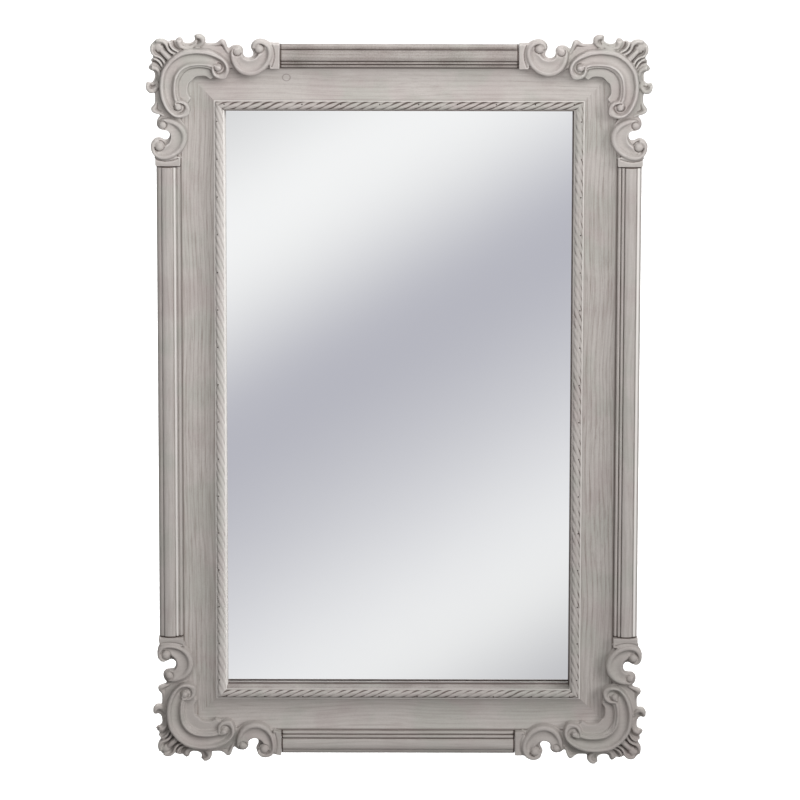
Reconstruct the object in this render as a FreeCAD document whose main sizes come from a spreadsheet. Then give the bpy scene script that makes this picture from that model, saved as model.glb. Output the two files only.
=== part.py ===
"""Portrait wall mirror in a carved wooden frame.

Four mitred mouldings carry the glass, the backing board and everything on the front:
reeded strips along the outer edges, a roped liner round the glass and a carved
scroll on each corner. X runs to the right, Z up, and the front faces -Y. The origin
is the middle of the frame's back, on the back face of the board.

In the sections below, "inward" is measured from the outer edge of the reeded strips
towards the glass, and "height" from the back of the frame towards the viewer.
"""
import FreeCAD, Part
import Sketcher
import math
import operator
import os

from FreeCAD import Placement, Rotation, Vector

doc = FreeCAD.newDocument("carved_wall_mirror")

# Driving dimensions, in millimetres.
sizes = {
    # The rectangle over the reeded strips, and the hollow that each side has.
    "frame_width": 577.8,
    "frame_height": 877.8,
    "cove_width": 39,
    # The moulding: its outer side stands well in under the strips and leans in further
    # towards the back, so the openings of the carving show the wall behind.
    "ledge_height": 22,
    "ledge_setback": 20.4,
    "side_lean": 6,
    "cove_rim": 5,
    "cove_depth": 5.5,
    "liner_seat_height": 12,
    # Glass and board, each in its own rebate.
    "board_thickness": 3,
    "glass_thickness": 4,
    "glass_lip": 3.5,
    "board_margin": 8,
    "rebate_clearance": 0.5,
    # The roped liner.
    "liner_height": 27.5,
    "nose_width": 4.5,
    "liner_fillet": 2,
    "rope_width": 9.5,
    "sight_fillet": 1.5,
    "sight_lean": 1.5,
    "rope_rise": 4,
    # The reeded strip: inward widths of its reeds, and their heights over the ledge. Its
    # back is rebated over the moulding's outer side.
    "edge_reed_width": 7.2,
    "band_width": 13.5,
    "third_reed_width": 4.6,
    "fourth_reed_width": 4.6,
    "strip_toe": 5.6,
    "strip_hook": 6,
    "edge_reed_foot": 9,
    "edge_reed_rise": 1.6,
    "edge_reed_crown": 1.6,
    "band_foot": 12.6,
    "band_crown": 1.4,
    "third_reed_foot": 10.4,
    "third_reed_crown": 1.3,
    "fourth_reed_foot": 8.6,
    "fourth_reed_crown": 1.4,
    "strip_inner_edge": 5.6,
    # The carved corner.
    "carving_square": 100,
    "carving_inset": 0.9,
    "ground_rise": 8,
    "channel_rise": 16,
    "rim_rise": 21,
    "rib_rise": 19,
    "small_rim_rise": 18,
    "collar_length": 9,
    "collar_rise": 14.6,
    # Fixings inside the frame.
    "tongue_length": 44,
    "tongue_start": 46,
    "tongue_depth": 16,
    "tongue_thickness": 3,
    "tongue_height": 8,
    "glue_clearance": 0.1,
    "hole_clearance": 0.05,
    "carving_screw_radius": 1.75,
    "carving_screw_cover": 4,
    "carving_screw_head_radius": 3.6,
    "carving_screw_head_depth": 2.4,
    "board_screw_radius": 1.5,
    "board_screw_length": 11,
    "board_screw_head_radius": 2.9,
    "board_screw_head_depth": 1.8,
    "board_screw_margin": 46,
    "board_screw_pitch": 170,
    "brad_radius": 0.7,
    "brad_cover": 1.8,
    "brad_pitch": 46,
    "brad_sink": 1.2,
    "overrun": 3,
    # Hangers and bumpers on the back.
    "hanger_inward": 45,
    "hanger_drop": 178,
    "strap_width": 14,
    "strap_end": 10,
    "strap_thickness": 2,
    "strap_corner": 5,
    "knuckle_wall": 1.05,
    "wire_radius": 1.25,
    "pin_clearance": 0.1,
    "ring_side_gap": 0.3,
    "ring_corner": 2.5,
    "ring_side": 2.2,
    "ring_rest_gap": 0.3,
    "hanger_screw_radius": 2,
    "hanger_screw_length": 15,
    "hanger_screw_head_radius": 3.7,
    "hanger_screw_head_height": 2.4,
    "hanger_screw_pitch": 20,
    "ring_fold_gap": 0.55,
    "bumper_radius": 8,
    "bumper_thickness": 5,
    "bumper_drop": 46,
}

sheet = doc.addObject("Spreadsheet::Sheet", "Sizes")
for row, (name, number) in enumerate(sizes.items(), start=1):
    sheet.set(f"A{row}", name)
    sheet.set(f"B{row}", str(number))
    sheet.setAlias(f"B{row}", name)
doc.recompute()

STEPS = {"+": operator.add, "-": operator.sub, "*": operator.mul, "/": operator.truediv}


class Size:
    """A length that knows its number and the sheet expression it comes from."""

    def __init__(self, number, text=None):
        self.number = float(number)
        self.text = text or repr(float(number))

    def __add__(self, other):
        return joined(self, "+", other)

    def __radd__(self, other):
        return joined(other, "+", self)

    def __sub__(self, other):
        return joined(self, "-", other)

    def __rsub__(self, other):
        return joined(other, "-", self)

    def __mul__(self, other):
        return joined(self, "*", other)

    def __rmul__(self, other):
        return joined(other, "*", self)

    def __truediv__(self, other):
        return joined(self, "/", other)

    def __neg__(self):
        return joined(0, "-", self)


def joined(left, sign, right):
    """Work out one step of a sum, as a number and as an expression."""
    left = left if isinstance(left, Size) else Size(left)
    right = right if isinstance(right, Size) else Size(right)
    number = STEPS[sign](left.number, right.number)
    return Size(number, f"({left.text} {sign} {right.text})")


def cell(name):
    """The size of that name on the sheet."""
    return Size(getattr(sheet, name), f"Sizes.{name}")


def bind(thing, **properties):
    """Tie properties of an object to the sheet."""
    for name, size in properties.items():
        thing.setExpression(name, size.text)


def slant(run, fall):
    """Straight distance between two points, from their run and fall."""
    number = math.hypot(run.number, fall.number)
    return Size(number, f"hypot({run.text}; {fall.text})")


def arc_radius(chord, crown):
    """Radius of the arc that rises by its crown over a chord."""
    return (chord * chord / 4 + crown * crown) / (2 * crown)


frame_width = cell("frame_width")
frame_height = cell("frame_height")
band_start = cell("edge_reed_width")
band_end = band_start + cell("band_width")
third_end = band_end + cell("third_reed_width")
strip_width = third_end + cell("fourth_reed_width")
cove_width = cell("cove_width")
rope_width = cell("rope_width")
liner_width = cell("liner_fillet") + rope_width + cell("sight_fillet")
ledge_height = cell("ledge_height")
ledge_setback = cell("ledge_setback")
board_thickness = cell("board_thickness")
glass_thickness = cell("glass_thickness")
glass_front = board_thickness + glass_thickness
liner_start = strip_width + cove_width
sight_edge = liner_start + liner_width
nose_edge = sight_edge - cell("nose_width")
glass_rebate = nose_edge - cell("glass_lip")
board_rebate = glass_rebate - cell("board_margin")

# The scrolls of a corner end at this share of the carving square, and a collar follows.
SCROLL_END_SHARE = 1.38
carving_arm = cell("carving_square") * SCROLL_END_SHARE + cell("collar_length")

# The four sides in turn: name, turn about Y, length, and how far out the side lies.
SIDES = (
    ("top", 0, frame_width, frame_height / 2),
    ("right", 90, frame_height, frame_width / 2),
    ("bottom", 180, frame_width, frame_height / 2),
    ("left", 270, frame_height, frame_width / 2),
)


def turned(angle):
    """Rotation about Y that carries the top of the frame to another side."""
    return Rotation(Vector(0, 1, 0), angle)


def seat(thing, angle, reach):
    """Place a piece drawn at the top of the frame on the side at that angle."""
    thing.Placement = Placement(turned(angle).multVec(Vector(0, 0, reach.number)), turned(angle))
    outward = {0: "z", 90: "x", 180: "z", 270: "x"}[angle]
    signed = reach if angle in (0, 90) else -reach
    thing.setExpression(f"Placement.Base.{outward}", signed.text)


def new_sketch(body, plane, name):
    """A sketch on one of the body's own origin planes."""
    sketch = body.newObject("Sketcher::SketchObject", name)
    support = [part for part in body.Origin.OriginFeatures if part.Role == plane][0]
    sketch.AttachmentSupport = (support, [""])
    sketch.MapMode = "FlatFace"
    return sketch


def arc_between(start, end, radius, side):
    """The short arc between two points; side is 1 with its centre on the left."""
    chord = end - start
    middle = (start + end) * 0.5
    left = Vector(-chord.y, chord.x, 0).normalize()
    away = math.sqrt(max(radius * radius - chord.Length * chord.Length / 4, 0))
    centre = middle + left * (away * side)
    from_point, to_point = (start, end) if side > 0 else (end, start)
    first = math.atan2(from_point.y - centre.y, from_point.x - centre.x)
    last = math.atan2(to_point.y - centre.y, to_point.x - centre.x)
    if last < first:
        last += 2 * math.pi
    return Part.ArcOfCircle(Part.Circle(centre, Vector(0, 0, 1), radius), first, last)


def draw_outline(sketch, corners):
    """Draw a closed outline and tie each corner to the sheet.

    A corner is (across, up) or (across, up, radius, side), where the radius and side
    belong to the arc that leaves it.
    """
    ends = []
    for index, corner in enumerate(corners):
        following = corners[(index + 1) % len(corners)]
        start = Vector(corner[0].number, corner[1].number, 0)
        end = Vector(following[0].number, following[1].number, 0)
        if len(corner) == 2:
            edge = sketch.addGeometry(Part.LineSegment(start, end))
            ends.append((edge, 1, 2))
            continue
        edge = sketch.addGeometry(arc_between(start, end, corner[2].number, corner[3]))
        ends.append((edge, 1, 2) if corner[3] > 0 else (edge, 2, 1))
        rule = sketch.addConstraint(Sketcher.Constraint("Radius", edge, corner[2].number))
        sketch.setExpression(f"Constraints[{rule}]", corner[2].text)
    for index, (edge, first, last) in enumerate(ends):
        next_edge, next_first, _ = ends[(index + 1) % len(ends)]
        sketch.addConstraint(Sketcher.Constraint("Coincident", edge, last, next_edge, next_first))
        for kind, size in zip(("DistanceX", "DistanceY"), corners[index]):
            place = Sketcher.Constraint(kind, -1, 1, edge, first, size.number)
            rule = sketch.addConstraint(place)
            sketch.setExpression(f"Constraints[{rule}]", size.text)


def stick(label, section, length):
    """A straight moulding of that section, along X and centred on the origin."""
    body = doc.addObject("PartDesign::Body", label)
    sketch = new_sketch(body, "YZ_Plane", f"{label}_section")
    draw_outline(sketch, section)
    pad = body.newObject("PartDesign::Pad", f"{label}_run")
    pad.Profile = sketch
    pad.SideType = "Symmetric"
    bind(pad, Length=length)
    return body


def mitre(body, label, length, depth):
    """Cut both ends of a stick at 45 degrees, from its outer corners inward."""
    half = length / 2
    none = Size(0)
    for end, side in (("right", 1), ("left", -1)):
        sketch = new_sketch(body, "XZ_Plane", f"{label}_{end}_mitre")
        outer = half * side
        inner = (half - depth) * side
        draw_outline(sketch, [(outer, none), (inner, -depth), (outer, -depth)])
        cut = body.newObject("PartDesign::Pocket", f"{label}_{end}_cut")
        cut.Profile = sketch
        cut.SideType = "Symmetric"
        bind(cut, Length=depth * 2)


def moulding_section():
    """Section of the main moulding: leaning side, ledge, cove, liner seat and rebates."""
    rim_height = ledge_height + cell("cove_rim")
    seat_height = cell("liner_seat_height")
    cove = arc_radius(cove_width, cell("cove_depth"))
    none = Size(0)
    return [
        (none, -(ledge_setback + cell("side_lean"))),
        (-ledge_height, -ledge_setback),
        (-ledge_height, -strip_width),
        (-rim_height, -strip_width, cove, -1),
        (-rim_height, -liner_start),
        (-seat_height, -liner_start),
        (-seat_height, -nose_edge),
        (-glass_front, -nose_edge),
        (-glass_front, -glass_rebate),
        (-board_thickness, -glass_rebate),
        (-board_thickness, -board_rebate),
        (none, -board_rebate),
    ]


def liner_section():
    """Section of the roped liner: flat fillets each side of a round bead, and a nose."""
    top = cell("liner_height")
    seat_height = cell("liner_seat_height")
    bead_start = liner_start + cell("liner_fillet")
    bead_end = bead_start + rope_width
    bead = arc_radius(rope_width, cell("rope_rise"))
    return [
        (-seat_height, -liner_start),
        (-top, -liner_start),
        (-top, -bead_start, bead, 1),
        (-top, -bead_end),
        (-top, -sight_edge),
        (-glass_front, -(sight_edge + cell("sight_lean"))),
        (-glass_front, -nose_edge),
        (-seat_height, -nose_edge),
    ]


def strip_section():
    """Section of the reeded strip: an edge reed, a wide band and two reeds stepping down.

    Behind the edge reed it hooks down over the moulding's leaning side.
    """
    edge_foot = ledge_height + cell("edge_reed_foot")
    edge_top = edge_foot + cell("edge_reed_rise")
    band_foot = ledge_height + cell("band_foot")
    third_foot = ledge_height + cell("third_reed_foot")
    fourth_foot = ledge_height + cell("fourth_reed_foot")
    inner_edge = ledge_height + cell("strip_inner_edge")
    hook_foot = ledge_height - cell("strip_hook")
    hook_lean = cell("side_lean") * cell("strip_hook") / ledge_height
    hook_edge = ledge_setback - cell("glue_clearance")
    none = Size(0)
    edge_chord = slant(band_start, edge_top - edge_foot)
    third_chord = slant(third_end - band_end, third_foot - fourth_foot)
    fourth_chord = slant(strip_width - third_end, fourth_foot - inner_edge)
    edge_reed = arc_radius(edge_chord, cell("edge_reed_crown"))
    band = arc_radius(cell("band_width"), cell("band_crown"))
    third_reed = arc_radius(third_chord, cell("third_reed_crown"))
    fourth_reed = arc_radius(fourth_chord, cell("fourth_reed_crown"))
    return [
        (-hook_foot, -cell("strip_toe")),
        (-edge_foot, none, edge_reed, 1),
        (-edge_top, -band_start),
        (-band_foot, -band_start, band, 1),
        (-band_foot, -band_end),
        (-third_foot, -band_end, third_reed, 1),
        (-fourth_foot, -third_end, fourth_reed, 1),
        (-inner_edge, -strip_width),
        (-ledge_height, -strip_width),
        (-ledge_height, -hook_edge),
        (-hook_foot, -(hook_edge + hook_lean)),
    ]


def rod(place, radius, low, high):
    """A round bar square to the back, between two heights."""
    base = Vector(place.x, -low, place.z)
    return Part.makeCylinder(radius, high - low, base, Vector(0, -1, 0))


def countersunk_screw(place, radius, length, head_radius, head_depth):
    """A countersunk screw driven from the back, its head flush with the back."""
    start = Vector(place.x, 0, place.z)
    head = Part.makeCone(head_radius, radius, head_depth, start, Vector(0, -1, 0))
    return head.fuse(rod(place, radius, 0, length))


def feature(label, shape):
    """A document object that holds a shape made here."""
    thing = doc.addObject("Part::Feature", label)
    thing.Shape = shape
    return thing


def cut(label, base, tools):
    """A piece with holes or recesses taken out of it."""
    thing = doc.addObject("Part::Cut", label)
    thing.Base = base
    thing.Tool = tools
    return thing


# Where the fixings go, all seen from the front with the origin in the middle.
half_width = frame_width.number / 2
half_height = frame_height.number / 2


def frame_corner(angle):
    """The outer corner of the strips at the left end of the side at that angle."""
    return {
        0: Vector(-half_width, 0, half_height),
        90: Vector(half_width, 0, half_height),
        180: Vector(half_width, 0, -half_height),
        270: Vector(-half_width, 0, -half_height),
    }[angle]


def corner_place(angle, across, down):
    """A point across and down from the top left corner, carried to another corner."""
    return frame_corner(angle) + turned(angle).multVec(Vector(across, 0, -down))


# A row takes one more gap when it lacks no more than this share of it.
SPARE_GAP_SHARE = 0.01


def row_places(inward, pitch, margin):
    """Points along all four sides, evenly spaced about the middle of each side."""
    places = []
    for _, angle, length, reach in SIDES:
        usable = length.number - 2 * margin
        gaps = max(int(usable / pitch + SPARE_GAP_SHARE), 1)
        for step in range(gaps + 1):
            along = (step - gaps / 2) * pitch
            places.append(turned(angle).multVec(Vector(along, 0, reach.number - inward)))
    return places


# The brads stand on the outer half of the bead, the board's screws in the middle of its rebate.
brad_inward = liner_start.number + sheet.liner_fillet + sheet.rope_width / 4
brad_places = row_places(brad_inward, sheet.brad_pitch, sight_edge.number)
board_screw_inward = board_rebate.number + sheet.board_margin / 2
board_screw_places = row_places(
    board_screw_inward, sheet.board_screw_pitch, board_screw_inward + sheet.board_screw_margin
)

# Shares of the carving square, across and down from the carving's own corner: each screw
# stands under a thick part of the carving.
CARVING_SCREW_SHARES = ((0.76, 0.34), (0.34, 0.76), (1.12, 0.352), (0.352, 1.12))
carving_screw_places = [
    corner_place(
        angle,
        sheet.carving_inset + across * sheet.carving_square,
        sheet.carving_inset + down * sheet.carving_square,
    )
    for _, angle, _, _ in SIDES
    for across, down in CARVING_SCREW_SHARES
]
hanger_sides = (("left", -1), ("right", 1))
hanger_across = half_width - sheet.hanger_inward
hanger_level = half_height - sheet.hanger_drop

# The ring's straight bar is longer than the knuckle. Folded down, its loop stops short of
# the first screw's head, and the strap ends past the second screw.
ring_half = cell("strap_width") / 2 + cell("ring_side_gap") + cell("ring_corner")
ring_reach = sheet.ring_corner + sheet.ring_side + ring_half.number
folded_reach = ring_reach + sheet.wire_radius + sheet.ring_fold_gap
first_screw_drop = folded_reach + sheet.hanger_screw_head_radius
second_screw_drop = first_screw_drop + sheet.hanger_screw_pitch
strap_length = second_screw_drop + sheet.strap_end
carving_screw_length = sheet.ledge_height + sheet.channel_rise - sheet.carving_screw_cover


def carving_screw(place, gap=0.0):
    """One screw that holds a carving from the back of the frame."""
    return countersunk_screw(
        place,
        sheet.carving_screw_radius + gap,
        carving_screw_length + gap,
        sheet.carving_screw_head_radius + gap,
        sheet.carving_screw_head_depth,
    )


def board_screw(place, gap=0.0):
    """One screw that holds the backing board."""
    return countersunk_screw(
        place,
        sheet.board_screw_radius + gap,
        sheet.board_screw_length + gap,
        sheet.board_screw_head_radius + gap,
        sheet.board_screw_head_depth,
    )


brad_top = sheet.liner_height + sheet.rope_rise - sheet.brad_sink
brad_foot = glass_front.number + sheet.brad_cover


def brad(place, gap=0.0, over=0.0):
    """One brad through the liner into the moulding, its head just under the bead."""
    return rod(place, sheet.brad_radius + gap, brad_foot - gap, brad_top + over)


def hanger_screw_places(across):
    """The two screws of a strap, below its knuckle."""
    drops = (first_screw_drop, second_screw_drop)
    return [Vector(across, 0, hanger_level - drop) for drop in drops]


def hanger_screw(place, gap=0.0):
    """One pan head screw through a strap into the stile."""
    radius = sheet.hanger_screw_radius + gap
    shank = rod(place, radius, -sheet.strap_thickness, sheet.hanger_screw_length + gap)
    start = Vector(place.x, sheet.strap_thickness, place.z)
    height = sheet.hanger_screw_head_height
    head = Part.makeCylinder(sheet.hanger_screw_head_radius, height, start, Vector(0, 1, 0))
    rim = max(head.Edges, key=lambda edge: edge.CenterOfMass.y)
    rounded = head.makeFillet(height / 2, [rim])
    return shank.fuse(rounded)


def tongue(angle, gap=0.0):
    """The loose tongue across one mitre, square to it."""
    length = sheet.tongue_length + 2 * gap
    depth = sheet.tongue_depth + 2 * gap
    thickness = sheet.tongue_thickness + 2 * gap
    start = Vector(-gap, -(sheet.tongue_height - gap) - thickness, -depth / 2)
    block = Part.makeBox(length, thickness, depth, start)
    diagonal = Rotation(Vector(0, 1, 0), 45 + angle)
    inset = sheet.tongue_start / math.sqrt(2)
    block.Placement = Placement(corner_place(angle, inset, inset), diagonal)
    return block


gap = sheet.hole_clearance
brad_bores = [brad(place, gap, sheet.overrun) for place in brad_places]
brad_holes = feature("brad_holes", Part.makeCompound(brad_bores))
rail_holes = list(brad_bores)
rail_holes += [board_screw(place, gap) for place in board_screw_places]
rail_holes += [carving_screw(place, gap) for place in carving_screw_places]
rail_holes += [tongue(angle, sheet.glue_clearance) for _, angle, _, _ in SIDES]
for _, hand in hanger_sides:
    rail_holes += [hanger_screw(place, gap) for place in hanger_screw_places(hand * hanger_across)]
rail_holes = feature("rail_holes", Part.makeCompound(rail_holes))

# Main mouldings: bored for every fixing and slotted for the mitre tongues.
RAIL_NAMES = {
    "top": "top_rail",
    "right": "right_stile",
    "bottom": "bottom_rail",
    "left": "left_stile",
}
mouldings = []
pieces = []
for side, angle, length, reach in SIDES:
    plain = stick(f"{side}_moulding", moulding_section(), length)
    mitre(plain, f"{side}_moulding", length, sight_edge * 2)
    seat(plain, angle, reach)
    mouldings.append(plain)
    pieces.append(cut(RAIL_NAMES[side], plain, rail_holes))

# Roped liner, one length a side, mitred like the mouldings.
for side, angle, length, reach in SIDES:
    plain = stick(f"{side}_liner_stick", liner_section(), length)
    mitre(plain, f"{side}_liner_stick", length, sight_edge * 2)
    seat(plain, angle, reach)
    pieces.append(cut(f"{side}_rope_liner", plain, brad_holes))

# Reeded strips between the carved corners.
carving_reach = cell("carving_inset") + carving_arm
for side, angle, length, reach in SIDES:
    strip = stick(f"{side}_reeded_strip", strip_section(), length - carving_reach * 2)
    seat(strip, angle, reach)
    pieces.append(strip)

# Carved corners. The carving is the same down the side as along the top, so each form
# is drawn once for the arm along the top and mirrored about the diagonal. Points are
# shares of the carving square, across and down; a third entry marks the middle of an arc.
THROUGH = True
GROUND_SHARES = (
    (-0.022, -0.022),
    (0.006, -0.048, THROUGH),
    (0.040, -0.062),
    (0.102, -0.060, THROUGH),
    (0.132, -0.018),
    (0.175, -0.056, THROUGH),
    (0.222, -0.038),
    (0.270, -0.090, THROUGH),
    (0.315, -0.050),
    (0.335, -0.020, THROUGH),
    (0.380, -0.009),
    (0.435, -0.022, THROUGH),
    (0.464, -0.068),
    (0.456, -0.106),
    (0.516, -0.1195, THROUGH),
    (0.576, -0.096),
    (0.594, -0.050, THROUGH),
    (0.586, -0.014),
    (0.720, -0.010),
    (0.760, -0.046, THROUGH),
    (0.797, -0.059),
    (0.826, -0.020, THROUGH),
    (0.849, 0.035),
    (0.900, 0.020, THROUGH),
    (0.960, 0.005),
    (1.034, 0.050, THROUGH),
    (1.032, 0.115),
    (1.085, 0.162, THROUGH),
    (1.146, 0.110),
    (1.129, 0.030, THROUGH),
    (1.175, -0.040),
    (1.230, -0.070, THROUGH),
    (1.325, -0.045),
    (1.360, -0.015),
    (SCROLL_END_SHARE, 0.000),
)
GROUND_RETURN_SHARES = (
    (1.330, 0.290),
    (1.240, 0.346, THROUGH),
    (1.125, 0.378),
    (1.010, 0.376, THROUGH),
    (0.910, 0.300),
    (0.877, 0.285),
    (0.869, 0.358, THROUGH),
    (0.805, 0.415),
    (0.750, 0.420, THROUGH),
    (0.700, 0.415),
    (0.644, 0.430),
    (0.610, 0.398, THROUGH),
    (0.578, 0.390),
    (0.500, 0.400, THROUGH),
    (0.430, 0.430),
)
SCROLL_SHARES = (
    (0.167, 0.167),
    (0.297, 0.080, THROUGH),
    (0.450, 0.050),
    (0.560, 0.054, THROUGH),
    (0.658, 0.069),
    (0.830, 0.170, THROUGH),
    (0.875, 0.285),
    (0.862, 0.370, THROUGH),
    (0.790, 0.408),
    (0.700, 0.390, THROUGH),
    (0.655, 0.330),
    (0.560, 0.262, THROUGH),
    (0.450, 0.265),
    (0.379, 0.279, THROUGH),
    (0.319, 0.319),
)
RIM_SHARES = (
    (0.167, 0.167),
    (0.297, 0.080, THROUGH),
    (0.450, 0.050),
    (0.560, 0.054, THROUGH),
    (0.658, 0.069),
    (0.830, 0.170, THROUGH),
    (0.875, 0.285),
    (0.862, 0.370, THROUGH),
    (0.790, 0.408),
    (0.785, 0.363),
    (0.822, 0.330, THROUGH),
    (0.830, 0.285),
    (0.790, 0.195, THROUGH),
    (0.650, 0.114),
    (0.555, 0.099, THROUGH),
    (0.450, 0.095),
    (0.314, 0.122, THROUGH),
    (0.199, 0.199),
)
RIB_SHARES = (
    (0.284, 0.284),
    (0.360, 0.233, THROUGH),
    (0.450, 0.215),
    (0.560, 0.213, THROUGH),
    (0.655, 0.255),
    (0.655, 0.310),
    (0.560, 0.262, THROUGH),
    (0.450, 0.265),
    (0.379, 0.279, THROUGH),
    (0.319, 0.319),
)
SMALL_RIM_SHARES = (
    (1.330, 0.050),
    (1.385, 0.110, THROUGH),
    (1.355, 0.210),
    (1.260, 0.335, THROUGH),
    (1.125, 0.378),
    (1.010, 0.376, THROUGH),
    (0.900, 0.280),
    (0.880, 0.160, THROUGH),
    (0.890, 0.070),
    (0.940, 0.110),
    (0.930, 0.180, THROUGH),
    (0.950, 0.270),
    (1.020, 0.325, THROUGH),
    (1.125, 0.330),
    (1.230, 0.290, THROUGH),
    (1.310, 0.190),
    (1.335, 0.130, THROUGH),
    (1.300, 0.080),
)
# Volutes: centre across and down, radius, and rise over the ledge as a share of the rim.
VOLUTE_SHARES = (
    (0.744, 0.259, 0.100, 0.86),
    (0.960, 0.083, 0.078, 0.78),
    (1.225, 0.042, 0.097, 0.82),
)
EYE_SHARE = 0.5
# Leaf ridges of the edge: both ends across and down, then the radius at each end.
RIDGE_SHARES = (
    (0.085, -0.025, 0.190, 0.130, 0.034, 0.018),
    (0.180, -0.030, 0.290, 0.090, 0.019, 0.012),
    (0.280, -0.050, 0.370, 0.045, 0.034, 0.014),
    (0.520, -0.075, 0.470, 0.020, 0.038, 0.020),
    (0.785, -0.030, 0.830, 0.070, 0.024, 0.014),
)
DROP_SHARES = (0.060, 0.060, 0.180, 0.180, 0.045, 0.020)
square = sheet.carving_square
ledge = sheet.ledge_height


def mirrored(shares):
    """The same points seen the other way round the diagonal, in reverse order."""
    return [(point[1], point[0], *point[2:]) for point in reversed(shares)]


def both_arms(shares):
    """Carry an outline that starts and ends on the diagonal round both arms."""
    return list(shares) + mirrored(shares)


def plate(points, rise):
    """A level of the carving: an outline of lines and arcs, raised over the ledge."""
    spots = [Vector(point[0] * square, -ledge, -point[1] * square) for point in points]
    edges = []
    index = 0
    while index < len(points):
        after = (index + 1) % len(points)
        if len(points[after]) == 3:
            end = (index + 2) % len(points)
            edges.append(Part.Arc(spots[index], spots[after], spots[end]).toShape())
            index += 2
        else:
            if spots[index].distanceToPoint(spots[after]) > Part.Precision.confusion():
                edges.append(Part.makeLine(spots[index], spots[after]))
            index += 1
    face = Part.Face(Part.Wire(edges))
    return face.extrude(Vector(0, -rise, 0))


def ridge(shares, height):
    """A rounded ridge that tapers from one end to the other, lying in the ground."""
    across, down, far_across, far_down, radius, far_radius = (share * square for share in shares)
    start = Vector(across, -height, -down)
    end = Vector(far_across, -height, -far_down)
    run = end - start
    taper = Part.makeCone(radius, far_radius, run.Length, start, run)
    return taper.fuse([Part.makeSphere(radius, start), Part.makeSphere(far_radius, end)])


def swapped(shape):
    """The same form on the other arm."""
    return shape.mirror(Vector(0, 0, 0), Vector(1, 0, 1))


def carving():
    """The whole carving of the top left corner, its underside flat on the ledge."""
    arm = carving_arm.number
    inset = sheet.carving_inset
    strip = strip_width.number - inset
    arm_end = ((arm / square, 0.0), (arm / square, strip / square))
    ground = both_arms(GROUND_SHARES + arm_end + GROUND_RETURN_SHARES)
    forms = [
        plate(both_arms(SCROLL_SHARES), sheet.channel_rise),
        plate(both_arms(RIM_SHARES), sheet.rim_rise),
        plate(both_arms(RIB_SHARES), sheet.rib_rise),
        ridge(DROP_SHARES, ledge + sheet.ground_rise),
    ]
    arm_forms = [plate(SMALL_RIM_SHARES, sheet.small_rim_rise)]
    for across, down, radius, rise in VOLUTE_SHARES:
        centre = Vector(across * square, -ledge, -down * square)
        top = sheet.rim_rise * rise
        arm_forms.append(Part.makeCylinder(radius * square, top, centre, Vector(0, -1, 0)))
        eye = centre + Vector(0, -top, 0)
        arm_forms.append(Part.makeSphere(radius * square * EYE_SHARE, eye))
    arm_forms += [ridge(shares, ledge + sheet.ground_rise) for shares in RIDGE_SHARES]
    collar_start = Vector(arm - sheet.collar_length, -ledge - sheet.collar_rise, -strip)
    collar_width = strip_width.number
    collar = Part.makeBox(sheet.collar_length, sheet.collar_rise, collar_width, collar_start)
    arm_forms.append(collar)
    forms += arm_forms + [swapped(form) for form in arm_forms]
    return plate(ground, sheet.ground_rise).fuse(forms).removeSplitter()


CORNER_ORDER = ("upper_left", "upper_right", "lower_right", "lower_left")
CORNER_NAMES = {side[1]: corner for side, corner in zip(SIDES, CORNER_ORDER)}
doc.recompute()
carved = carving()
carving_bores = Part.makeCompound([carving_screw(place, gap) for place in carving_screw_places])
seats = [plain.Shape for plain in mouldings] + [carving_bores]
seats = feature("carving_seats", Part.makeCompound(seats))
for angle, corner in CORNER_NAMES.items():
    block = feature(f"{corner}_carving_block", carved)
    own_corner = corner_place(angle, sheet.carving_inset, sheet.carving_inset)
    block.Placement = Placement(own_corner, turned(angle))
    pieces.append(cut(f"{corner}_carving", block, seats))

# Loose tongues glued across the four mitres.
for angle, corner in CORNER_NAMES.items():
    loose = doc.addObject("Part::Box", f"{corner}_mitre_tongue")
    bind(
        loose,
        Length=cell("tongue_length"),
        Width=cell("tongue_thickness"),
        Height=cell("tongue_depth"),
    )
    inset = sheet.tongue_start / math.sqrt(2)
    diagonal = Rotation(Vector(0, 1, 0), 45 + angle)
    corner_of_box = Vector(0, -sheet.tongue_height - sheet.tongue_thickness, -sheet.tongue_depth / 2)
    loose.Placement = Placement(
        corner_place(angle, inset, inset) + diagonal.multVec(corner_of_box), diagonal
    )
    pieces.append(loose)

# Mirror glass, held in its rebate by the backing board.
glass_gap = cell("rebate_clearance")
panels = {}
for label, edge, foot, thickness in (
    ("mirror_glass", glass_rebate + glass_gap, board_thickness, glass_thickness),
    ("backing_board_blank", board_rebate + glass_gap, Size(0), board_thickness),
):
    panel = doc.addObject("Part::Box", label)
    across = frame_width - edge * 2
    tall = frame_height - edge * 2
    bind(panel, Length=across, Width=thickness, Height=tall)
    panel.setExpression("Placement.Base.x", (-across / 2).text)
    panel.setExpression("Placement.Base.y", (-foot - thickness).text)
    panel.setExpression("Placement.Base.z", (-tall / 2).text)
    panels[label] = panel
pieces.append(panels["mirror_glass"])
board_bores = Part.makeCompound([board_screw(place, gap) for place in board_screw_places])
board_bores = feature("board_bores", board_bores)
pieces.append(cut("backing_board", panels["backing_board_blank"], board_bores))


def fixings(label, solids):
    """A group of like fixings that share one node."""
    pieces.append(feature(label, Part.makeCompound(solids)))


fixings("backing_screws", [board_screw(place) for place in board_screw_places])
fixings("carving_screws", [carving_screw(place) for place in carving_screw_places])
fixings("rope_brads", [brad(place) for place in brad_places])

# Hangers: a folded strap screwed to each stile, and a wire ring that turns in its knuckle.
wire = cell("wire_radius")
bore = wire + cell("pin_clearance")
knuckle = bore + cell("knuckle_wall")
strap_width = cell("strap_width")


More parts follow.
